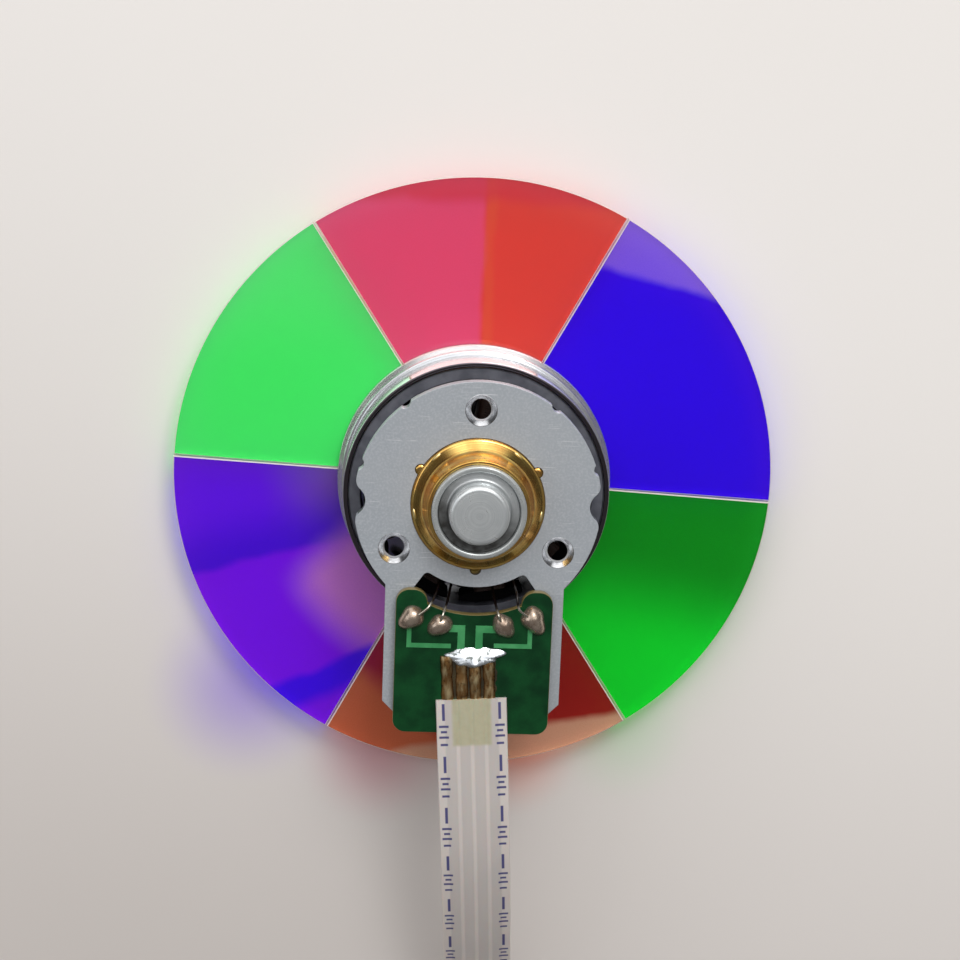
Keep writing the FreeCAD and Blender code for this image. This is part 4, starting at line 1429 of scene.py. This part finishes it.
@dataclass
class Bearing:
    """The brass holder, the steel sleeve in it and the cap that closes it."""

    face: float = 11.5
    plate_bottom: float = 10.4
    spigot: float = 4.66
    nose: float = 3.56
    nose_top: float = 13.7
    bore: float = 3.28
    tube: float = 3.92
    tube_bottom: float = 5.5
    step: float = 4.24
    step_bottom: float = 8.0
    shoulder: float = 5.3
    shoulder_bottom: float = 9.6
    cone_foot: float = 4.52
    cone_top: float = 3.84
    cone_rise: float = 0.6
    sleeve: float = 3.26
    sleeve_bore: float = 2.82
    sleeve_bottom: float = 5.2
    sleeve_top: float = 14.2
    foot_bore: float = 2.38
    foot_top: float = 5.9
    dish: float = 13.85
    plateau: float = 2.1
    cap_top: float = 15.1
    cap_side: float = 2.8
    cap_bottom: float = 12.95
    cap_wall: float = 0.55
    stake_radius: float = 4.44
    stake_halves: Corner = (0.42, 0.12, 0.16)
    stake_angles: tuple[float, ...] = (52.7, 132.4, 190.2, 350.7)
    key_angles: Spot = (30.0, 150.0)
    key_radius: float = 0.39
    key_level: float = 11.3
    key_rise: float = 0.16

    def holder_profile(self) -> Array:
        """The holder's section, from its core tube up to the thin lip of its nose.

        Returns:
            The section's points, as radius and height.
        """
        return soften([
            (self.bore, self.tube_bottom, 0.06),
            (self.tube, self.tube_bottom, 0.06),
            (self.tube, self.step_bottom, 0.02),
            (self.step, self.step_bottom, 0.05),
            (self.step, self.shoulder_bottom, 0.05),
            (self.shoulder, self.shoulder_bottom, 0.08),
            (self.shoulder, self.plate_bottom - 0.01, 0.05),
            (self.spigot - 0.01, self.plate_bottom - 0.01, 0.02),
            (self.spigot - 0.01, self.face, 0.07),
            (self.cone_foot, self.face, 0.1),
            (self.cone_top, self.face + self.cone_rise, 0.25),
            (self.nose, self.nose_top - 0.35, 0.3),
            (self.nose - 0.03, self.nose_top, 0.07),
            (self.bore, self.nose_top, 0.07),
        ], 6)

    def sleeve_profile(self) -> Array:
        """The sleeve's section, with its drawn-in foot.

        Returns:
            The section's points, as radius and height.
        """
        return soften([
            (self.foot_bore, self.sleeve_bottom, 0.05),
            (self.sleeve, self.sleeve_bottom, 0.15),
            (self.sleeve, self.sleeve_top, 0.16),
            (self.sleeve_bore, self.sleeve_top, 0.16),
            (self.sleeve_bore, self.foot_top, 0.02),
            (self.foot_bore, self.foot_top, 0.05),
        ], 6)

    def cap_profile(self) -> Array:
        """The cap's section: a drawn cup upside down, with a dish round its plateau.

        Returns:
            The section's points, as radius and height.
        """
        inner, ceiling = self.plateau - self.cap_wall, self.cap_top - self.cap_wall
        return soften([
            (0.0, ceiling, 0.0),
            (inner, ceiling, 0.05),
            (inner, self.cap_bottom, 0.05),
            (self.cap_side, self.cap_bottom, 0.05),
            (self.cap_side, self.dish, 0.08),
            (self.plateau + 0.06, self.dish, 0.24),
            (self.plateau - 0.04, self.cap_top, 0.34),
            (0.0, self.cap_top, 0.0),
        ], 8)

    def stakes(self) -> Shape:
        """Four stake marks: small bright domes pressed out at the holder's rim.

        Each is an ellipsoid, half sunk in the brass, whose long axis lies along the rim.

        Returns:
            The points and the faces.
        """
        u, v = np.meshgrid(turn(24), np.linspace(0, np.pi, 13), indexing="ij")
        half_along, half_out, half_up = self.stake_halves
        along = half_along * np.cos(u) * np.sin(v)
        radius = self.stake_radius + half_out * np.sin(u) * np.sin(v)
        height = self.face + half_up * np.cos(v)
        shapes = []
        for angle in np.radians(self.stake_angles):
            x = radius * np.cos(angle) - along * np.sin(angle)
            y = radius * np.sin(angle) + along * np.cos(angle)
            shapes.append((np.stack([x, y, height], axis=-1), quads(*u.shape, wrap_columns=False).tolist()))
        return joined(shapes)

    def keys(self) -> Shape:
        """The two brass lobes that fill the key notches: flat pads with rounded edges.

        Returns:
            The points and the faces.
        """
        s, a = polar(12, 40)
        height = self.key_level + self.key_rise * (1 - s**4) ** 0.5
        shapes = []
        for angle in np.radians(self.key_angles):
            x, y = self.spigot * math.cos(angle), self.spigot * math.sin(angle)
            reach = self.key_radius * s
            pad = np.stack([x + reach * np.cos(a), y + reach * np.sin(a), height], axis=-1)
            foot = pad[-1] * [1, 1, 0] + [0, 0, self.plate_bottom]
            shapes.append(capped(np.concatenate([pad, foot[None]])))
        return joined(shapes)

    def cap_finish(self) -> Material:
        """The cap's drawn steel, with painted shade in the groove round its plateau.

        Returns:
            The material.
        """
        surface = Metal(
            "drawn_cap_steel", shade(226, 230, 232), shade(182, 187, 190),
            rough=0.26, grain=0.06, grain_depth=0.002, ring_width=0.13, ring_depth=0.008, patch=1.2,
            metallic=0.6,
        ).start()
        # Painted shade: the groove round the plateau is darkened in patches, most on the side towards -115
        # degrees.
        below = surface.scaled(surface.ramp(surface.along(-115), -2.2, 1.4), 0.75, 0.2)
        painted_groove_shade = surface.times(surface.ramp(surface.axis("Z"), 14.7, 13.95), below)
        patchy = surface.scaled(surface.noise(0.6, 3.0), 0.6, 0.6)
        surface.stain(surface.compute("MULTIPLY", painted_groove_shade, patchy, clamp=True), shade(52, 50, 46))
        return surface.material

    def build(self) -> None:
        """Builds the brass and steel pieces of the bearing."""
        brass = Metal(
            "turned_brass", shade(255, 230, 138), shade(188, 112, 46),
            rough=0.15, grain=0.07, grain_depth=0.002, ring_width=0.09, ring_depth=0.005, patch=1.5,
        ).make()
        lathe("brass_holder", self.holder_profile(), 224, brass, Role(STATOR, "brass", "bearing_holder"))
        # The stake marks get paler brass: partly fresh-cut metal, partly painted highlight.
        pressed = Metal(
            "pressed_brass", shade(255, 244, 190), shade(232, 200, 124),
            rough=0.3, grain=0.1, grain_depth=0.004, patch=0.6,
        ).make()
        add_piece("stake_marks", self.stakes(), pressed, Role(STATOR, "brass"))
        add_piece("key_beads", self.keys(), brass, Role(STATOR, "brass"))
        steel = Metal(
            "drawn_steel", shade(216, 220, 220), shade(168, 173, 174),
            rough=0.24, grain=0.06, grain_depth=0.002, ring_width=0.13, ring_depth=0.008, patch=1.2,
            metallic=0.6,
        ).make()
        for name, profile, finish, node in (
            ("steel_sleeve", self.sleeve_profile(), steel, "bearing_sleeve"),
            ("thrust_cap_drawn", self.cap_profile(), self.cap_finish(), "thrust_cap"),
        ):
            lathe(name, profile, 224, finish, Role(STATOR, "bearing_steel", node))
        for name, node in (("washer_plastic", "thrust_washer"), ("stop_ring_plastic", "stop_ring")):
            dress(Moulded(name, shade(196, 184, 156), shade(180, 168, 140)).make(), node)
        bronze = Metal(
            "sintered_bronze", shade(140, 106, 62), shade(96, 70, 40),
            rough=0.55, grain=0.08, grain_depth=0.02,
        )
        dress(bronze.make(), "oil_bearing")


@dataclass
class BasePlate:
    """The stamped steel plate with its tapped holes."""

    bottom: float = 10.4
    top: float = 11.4
    hole_circle: float = 6.6
    hole_radius: float = 0.8
    hole_angles: Corner = (90.0, 210.0, 330.0)
    countersink: float = 0.3
    thread_depth: float = 0.1
    thread_pitch: float = 0.4
    thread_half: float = 0.16
    thread_foot: float = 0.12
    thread_short: float = 0.5
    thread_steps: int = 36
    edge: float = 0.09

    def at_holes(self, radius: Array, angle: Array, height: Array) -> list[Array]:
        """The same points round the axis of each hole.

        Args:
            radius: Their distance from the hole's axis.
            angle: Their direction from it.
            height: Their height.

        Returns:
            The points at each hole.
        """
        return [
            np.stack([
                self.hole_circle * math.cos(place) + radius * np.cos(angle),
                self.hole_circle * math.sin(place) + radius * np.sin(angle),
                height,
            ], axis=-1)
            for place in np.radians(self.hole_angles)
        ]

    def threads(self) -> Shape:
        """A fine ridge that winds up the wall of each tapped hole.

        Along the helix the ridge's section is a triangle whose tip points to the hole's axis,
        and it fades out at both ends.

        Returns:
            The points and the faces.
        """
        turns = (self.top - self.bottom - self.thread_short) / self.thread_pitch
        t = np.linspace(0, 1, int(turns * self.thread_steps))[:, None]
        fade = np.clip(np.minimum(t, 1 - t) * 8, 0.05, 1)
        tooth = np.array([[0.02, -self.thread_half], [-1.0, 0.0], [0.02, self.thread_half]])
        radius = self.hole_radius + tooth[:, 0][None, :] * self.thread_depth * fade
        climb = self.bottom + self.thread_foot + t * (turns * self.thread_pitch)
        height = climb + tooth[:, 1][None, :] * fade
        return joined([capped(points) for points in self.at_holes(radius, t * turns * 2 * np.pi, height)])

    def rims(self) -> Shape:
        """The bright cut countersink of each tapped hole: a thin cone ring that lies in it.

        Returns:
            The points and the faces.
        """
        mouth = self.hole_radius + self.countersink
        section = np.array([
            (self.hole_radius - 0.01, -0.38), (self.hole_radius - 0.01, -0.29), (mouth - 0.015, 0.008),
            (mouth + 0.02, 0.002), (mouth + 0.02, -0.04), (self.hole_radius + 0.06, -0.38),
        ])
        angle = turn(64)[:, None]
        rings = self.at_holes(section[:, 0], angle, self.top + section[:, 1] + 0 * angle)
        return joined([(points, quads(*points.shape[:2]).tolist()) for points in rings])

    def build(self) -> None:
        """Builds the plate, its threads and the countersinks."""
        plate, trim = (Role(STATOR, "plate_steel", node) for node in ("base_plate", ""))
        refine("base_plate_stamped", StampedSteel().make(), plate, self.edge)
        cut = Metal(
            "cut_thread", shade(236, 238, 242), shade(150, 152, 158),
            rough=0.35, grain=0.08, grain_depth=0.002, metallic=0.5,
        )
        add_piece("hole_threads", self.threads(), cut.make(), trim)
        bright = Metal(
            "cut_countersink", shade(228, 230, 234), shade(136, 138, 142),
            rough=0.16, grain=0.1, grain_depth=0.003, patch=0.5,
        )
        add_piece("hole_countersinks", self.rims(), bright.make(), trim)


@dataclass
class Windings:
    """The core with its insulators and the three phases of coils."""

    coils: int = 9
    start: float = 4.96
    reach: float = 2.05
    middle: float = 6.75
    half_width: float = 1.14
    half_height: float = 1.79
    squareness: float = 6.0
    wire: float = 0.075
    wire_pitch: float = 0.153
    wire_steps: int = 30
    proud: float = 0.04

    def strand(self, angle: float) -> Shape:
        """The outer layer of one coil: a wire that winds round the tooth and along it.

        At the turn angle t the wire lies on a rectangle with rounded corners, while it moves
        outwards by one wire's width a turn.

        Args:
            angle: The tooth's direction.

        Returns:
            The points and the faces.
        """
        turns = (self.reach - 2 * self.wire) / self.wire_pitch
        t = np.linspace(0, turns * math.tau, int(turns * self.wire_steps))
        shrink = squared(t, self.squareness)
        along = self.start + self.wire + (self.reach - 2 * self.wire) * t / t[-1]
        across = (self.half_width + self.proud - self.wire) * np.cos(t) * shrink
        up = self.middle + (self.half_height + self.proud - self.wire) * np.sin(t) * shrink
        x = along * math.cos(angle) - across * math.sin(angle)
        y = along * math.sin(angle) + across * math.cos(angle)
        return sweep(np.stack([x, y, up], axis=1), self.wire, 8, (math.cos(angle), math.sin(angle), 0.0))

    def enamel(self, name: str) -> Material:
        """Copper enamel, darkened nearly to black as painted shade, a little uneven in tone from turn to
        turn.

        Args:
            name: The material's name.

        Returns:
            The material.
        """
        surface = Surface(name)
        strands = surface.lines(surface.radius(), 0.3, 1.0)
        # Painted shade: the copper tones are darkened nearly to black, as inside the motor.
        surface.set(
            base_color=surface.blend(strands, shade(46, 22, 13), shade(24, 12, 8)),
            metallic=0.4,
            roughness=surface.scaled(strands, 0.1, 0.42),
            coat_weight=0.06,
            coat_roughness=0.2,
        )
        surface.relief(surface.noise(0.3, 3.0), 0.004)
        return surface.material

    def build(self) -> None:
        """Dresses the core and the insulators, and winds the coils."""
        # The core and insulators are black, and darkened nearly to zero as painted shade inside the motor.
        core = Moulded(
            "core_coating", shade(9, 9, 11), shade(6, 6, 7),
            rough=0.8, grain=0.2, depth=0.02, gloss=0.05,
        )
        dress(core.make(), "stator_core")
        black = Moulded(
            "insulator_black", shade(9, 9, 10), shade(5, 5, 6),
            rough=0.8, grain=0.15, depth=0.01, gloss=0.05,
        )
        dress(black.make(), "insulator_upper", "insulator_lower")
        for node in ("coils_u", "coils_v", "coils_w"):
            dress(self.enamel(f"{node}_enamel"), node)
        strands = joined([self.strand(math.tau * index / self.coils) for index in range(self.coils)])
        add_piece("winding_strands", strands, self.enamel("strand_enamel"), Role(STATOR, "enamelled_wire"))


@dataclass(frozen=True)
class Joint:
    """One solder joint: its place, size and height, and its two lobes as angle and length."""

    x: float
    y: float
    size: float
    height: float
    tail: Spot
    second: Spot


@dataclass
class Board:
    """The circuit board: traces, solder joints, winding ends, conductors and flux.

    Each way is where a bared conductor meets the cable. Everything is sunk a little in the
    board, so that no gap shows.
    """

    top: float = 12.2
    trace_rise: float = 0.035
    trace_halves: tuple[float, ...] = (0.17, 0.27, 0.27, 0.17)
    wire: float = 0.09
    joints: tuple[Joint, ...] = (
        Joint(-4.3, -8.0, 0.8, 0.72, (215, 0.34), (60, 0.1)),
        Joint(-2.4, -8.5, 0.74, 0.64, (225, 0.26), (10, 0.26)),
        Joint(2.05, -8.4, 0.74, 0.66, (305, 0.36), (130, 0.16)),
        Joint(4.1, -7.9, 0.82, 0.76, (300, 0.5), (100, 0.12)),
    )
    traces: tuple[tuple[Spot, ...], ...] = (
        ((-4.5, -8.6), (-4.5, -10.02), (-1.55, -10.02)),
        ((-2.2, -8.75), (-0.85, -8.75), (-0.85, -10.3)),
        ((2.0, -8.75), (0.4, -8.75), (0.4, -10.3)),
        ((3.95, -8.4), (3.95, -9.92), (1.45, -9.92)),
    )
    wires: tuple[tuple[Corner, ...], ...] = (
        (
            (-2.3, -5.6, 9.3), (-2.55, -6.1, 11.2), (-3.05, -6.95, 12.75),
            (-3.6, -7.5, 12.72), (-4.2, -7.95, 12.6),
        ),
        (
            (-1.6, -6.3, 9.3), (-1.8, -6.8, 11.2), (-2.15, -7.45, 12.85),
            (-2.3, -7.9, 12.8), (-2.4, -8.4, 12.5),
        ),
        (
            (1.3, -6.3, 9.3), (1.4, -6.8, 11.2), (1.62, -7.4, 12.85),
            (1.8, -7.9, 12.8), (2.0, -8.35, 12.5),
        ),
        (
            (2.5, -5.2, 9.3), (2.75, -5.6, 11.3), (2.9, -6.0, 12.9),
            (3.0, -7.05, 13.0), (3.5, -7.45, 12.8), (4.05, -7.85, 12.6),
        ),
    )
    ways: tuple[float, ...] = (-1.65, -0.62, 0.33, 1.31)
    way_start: float = -10.75
    way_length: float = 3.15
    way_lean: float = 0.2
    way_half: float = 0.42
    way_rise: float = 0.2
    way_foot: float = 0.04
    sunk: float = 0.02
    fillet_place: Spot = (0.15, -10.75)
    fillet_halves: Spot = (1.88, 0.76)
    fillet_skew: float = 0.06
    fillet_head: float = 0.7
    fillet_slope: float = 0.42
    fillet_limits: Spot = (0.04, 0.5)
    film_place: Spot = (-0.12, -12.35)
    film_halves: Spot = (1.95, 1.6)
    film_rise: float = 0.06

    def strip(self, corners: Sequence[Spot], half: float) -> Shape:
        """One trace: a flat strip along a path with mitred corners.

        At each point the strip's edges lie half its width to both sides, along the mean of the
        neighbouring runs' normals, stretched so that the strip keeps its width.

        Args:
            corners: The path's points.
            half: Half its width.

        Returns:
            The points and the faces.
        """
        path = np.array(corners, dtype=float)
        runs = unit(np.diff(path, axis=0))
        normals = np.stack([-runs[:, 1], runs[:, 0]], axis=1)
        before = np.concatenate([normals[:1], normals])
        mitre = before + np.concatenate([normals, normals[-1:]])
        mitre /= (mitre * before).sum(axis=1, keepdims=True)
        section = np.array([[-1, 0], [-0.92, 1], [0.92, 1], [1, 0]], dtype=float)
        flat = path[:, None] + mitre[:, None] * section[None, :, :1] * half
        height = self.top - self.sunk / 2 + section[:, 1] * (self.trace_rise + self.sunk / 2)
        height = np.broadcast_to(height[None, :, None], (len(path), len(section), 1))
        return capped(np.concatenate([flat, height], axis=2))

    def blob(self, joint: Joint) -> Shape:
        """One solder joint: a dome with two drawn-out lobes.

        The outline's radius at the angle a is the size plus each lobe times a narrow cosine
        power about its own angle, and a little waviness. Height falls as a circle from the
        middle to the outline, and the tail is pinched towards the middle.

        Args:
            joint: The joint.

        Returns:
            The points and the faces.
        """
        s, a = polar(22, 56)
        tail, second = (
            lobe(a, math.radians(angle), power) * length
            for (angle, length), power in ((joint.tail, 7), (joint.second, 5))
        )
        wobble = waves(a, (0.03, 3, joint.x), (0.02, 5, joint.y))
        pinch = 1 - 0.25 * (tail / joint.size) * (1 - s)
        reach = (joint.size + tail + second + wobble) * np.sin(s * np.pi / 2) ** 0.9
        dome = joint.height * np.cos(s * np.pi / 2) ** 1.15
        x, y = joint.x + reach * np.cos(a) * pinch, joint.y + reach * np.sin(a) * pinch
        return capped(np.stack([x, y, self.top - self.sunk + dome], axis=-1))

    def conductor(self, x: float, index: int) -> Shape:
        """One bared conductor: a flat wire with a rounded back, proud of the board.

        Its section is a flattened arch, its width and height wave a little along it, and it
        leans with the cable.

        Args:
            x: Where it meets the cable.
            index: Its place in the row.

        Returns:
            The points and the faces.
        """
        t, a = np.linspace(0, 1, 40)[:, None], np.linspace(0, np.pi, 15)[None, :]
        wide = self.way_half * (1 + waves(t, (0.06, 9, index * 1.7), (0.04, 23, index)))
        tall = self.way_rise * (1 + waves(t, (0.35, 7, index * 2.1)) * (1 - t)) + self.way_foot
        across = x - (1 - t) * self.way_lean - wide * np.cos(a)
        y = self.way_start - self.way_length * t + 0 * a
        return capped(np.stack([across, y, self.top - self.sunk / 2 + tall * np.sin(a) ** 0.8], axis=-1))

    @staticmethod
    def oval(place: Spot, halves: Spot, reach: Array, a: Array) -> tuple[Array, Array]:
        """Points about a place: its half sizes, times the reach at each angle."""
        return place[0] + halves[0] * reach * np.cos(a), place[1] + halves[1] * reach * np.sin(a)

    def fillet(self) -> Shape:
        """The bright fillet of solder and flux across the conductors' ends.

        A wedge on an oval with an uneven outline: its height climbs from the outline's upper
        side towards the conductors, is drawn down to the board at the outline, and has a few
        soft humps.

        Returns:
            The points and the faces.
        """
        s, a = polar(40, 120)
        tips = 0.16 * (lobe(a, 0.35, 12) + lobe(a, 3.0, 9))
        edge = 0.94 + tips + waves(a, (0.08, 3, 0.6), (0.05, 7, 0), (0.03, 11, 1))
        x, y = self.oval(self.fillet_place, self.fillet_halves, edge * s, a)
        y = y + self.fillet_skew * x
        slope = np.clip((self.way_start + self.fillet_head - y) * self.fillet_slope, *self.fillet_limits)
        humps = 1 + waves(x, (0.1, 5.2, 0.4), (0.06, 3.1, 5 * y))
        height = slope * humps * (1 - s**6) ** 0.5 + self.film_rise * (1 - s**2)
        return capped(np.stack([x, y, self.top - self.sunk + height], axis=-1))

    def residue(self) -> Shape:
        """The thin brown film of flux between and beside the conductors.

        A flat sheet on a rounded rectangle, drawn down at its outline.

        Returns:
            The points and the faces.
        """
        s, a = polar(14, 96)
        edge = squared(a, 5) * (1 + waves(a, (0.025, 9, 0), (0.02, 17, 2)))
        x, y = self.oval(self.film_place, self.film_halves, edge * s, a)
        return capped(np.stack([x, y, self.top - self.sunk / 2 + self.film_rise * (1 - s**4)], axis=-1))

    def wire_finish(self) -> Material:
        """Tinned wire; inside the motor its enamel is darkened nearly to black as painted shade.

        Returns:
            The material.
        """
        surface = Metal(
            "tinned_wire", shade(226, 222, 212), shade(186, 170, 146),
            rough=0.18, grain=0.1, grain_depth=0.004, patch=0.6,
        ).start()
        # Inside the motor: enamel, darkened nearly to black and made less metallic as painted shade.
        bare = surface.ramp(surface.radius(), 7.3, 7.8)
        surface.set(
            base_color=surface.blend(bare, shade(20, 12, 9), surface.colour),
            metallic=surface.scaled(bare, 0.9, 0.1),
        )
        return surface.material

    def conductor_finish(self) -> Material:
        """Copper under brown flux, burnt in places, with painted highlights along its crests.

        Returns:
            The material.
        """
        surface = Metal(
            "fluxed_copper", shade(176, 134, 84), shade(112, 78, 46),
            rough=0.3, grain=0.12, grain_depth=0.008, patch=0.9,
        ).start()
        highlight_band = surface.ramp(surface.axis("Z"), self.top + 0.1, self.top + 0.27)
        shine = surface.ramp(surface.noise(0.6, 3.0, (0.6, 1.8, 1), 4.0), 0.4, 0.68)
        surface.stain(surface.ramp(surface.noise(0.22, 2.0, seed=7.0), 0.5, 0.7), shade(70, 48, 30), 0.6)
        # Painted highlight: pale cream patches along the tops of the strips.
        surface.stain(surface.times(shine, highlight_band), shade(236, 216, 168))
        return surface.material

    def fillet_finish(self) -> Material:
        """Bright solder with a few dark patches.

        Returns:
            The material.
        """
        surface = Metal(
            "bright_solder", shade(236, 240, 244), shade(158, 166, 178),
            rough=0.22, grain=0.3, grain_depth=0.012, patch=0.7, metallic=0.85,
        ).start()
        surface.stain(surface.ramp(surface.noise(0.36, 3.0, seed=5.0), 0.55, 0.64), shade(66, 72, 62), 0.8)
        return surface.material

    def build(self) -> None:
        """Builds the board and everything on it."""
        refine("board", BoardLaminate().make(), Role(STATOR, "board_laminate", "circuit_board"))
        dress(cured_glue("board_bond", 0.3), "board_adhesive")
        covered = Moulded(
            "covered_copper", shade(74, 160, 100), shade(52, 136, 80),
            rough=0.35, grain=0.1, depth=0.004, coat=0.2,
        ).make()
        solder = Metal(
            "solder", shade(198, 182, 166), shade(122, 98, 82),
            rough=0.22, grain=0.22, grain_depth=0.02, patch=0.5, metallic=0.8,
        ).make()
        amber = Moulded(
            "flux_residue", shade(70, 58, 32), shade(40, 36, 22),
            rough=0.3, grain=0.14, depth=0.01, coat=0.4, clearness=0.2,
        ).make()
        traces = joined([self.strip(corners, half) for corners, half in zip(self.traces, self.trace_halves)])
        blobs = joined([self.blob(joint) for joint in self.joints])
        ends = joined([sweep(bend(corners), self.wire) for corners in self.wires])
        strips = joined([self.conductor(x, index) for index, x in enumerate(self.ways)])
        for name, shape, finish, slot, node in (
            ("board_traces", traces, covered, "board_laminate", ""),
            ("solder_blobs", blobs, solder, "solder", "coil_solder_joints"),
            ("winding_ends", ends, self.wire_finish(), "lead_wire", "coil_lead_wires"),
            ("conductor_strips", strips, self.conductor_finish(), "tinned_copper", "cable_conductors"),
            ("solder_fillet", self.fillet(), self.fillet_finish(), "solder", "cable_solder_joints"),
            ("flux_film", self.residue(), amber, "clear_adhesive", ""),
        ):
            add_piece(name, shape, finish, Role(STATOR, slot, node))


def main() -> None:
    """Builds the stage, then the cable, the rotor and the stator in order."""
    logging.basicConfig(level=logging.INFO, format="%(name)s: %(message)s")
    for part in (Studio(), FlatCable(), GlassRing(), RotorCan(), Bearing(), BasePlate(), Windings(), Board()):
        before = set(bpy.data.objects)
        part.build()
        made = sorted(piece.name for piece in set(bpy.data.objects) - before)
        log.info("%s: %s", type(part).__name__, ", ".join(made) or "dressed")


if __name__ == "__main__":
    main()
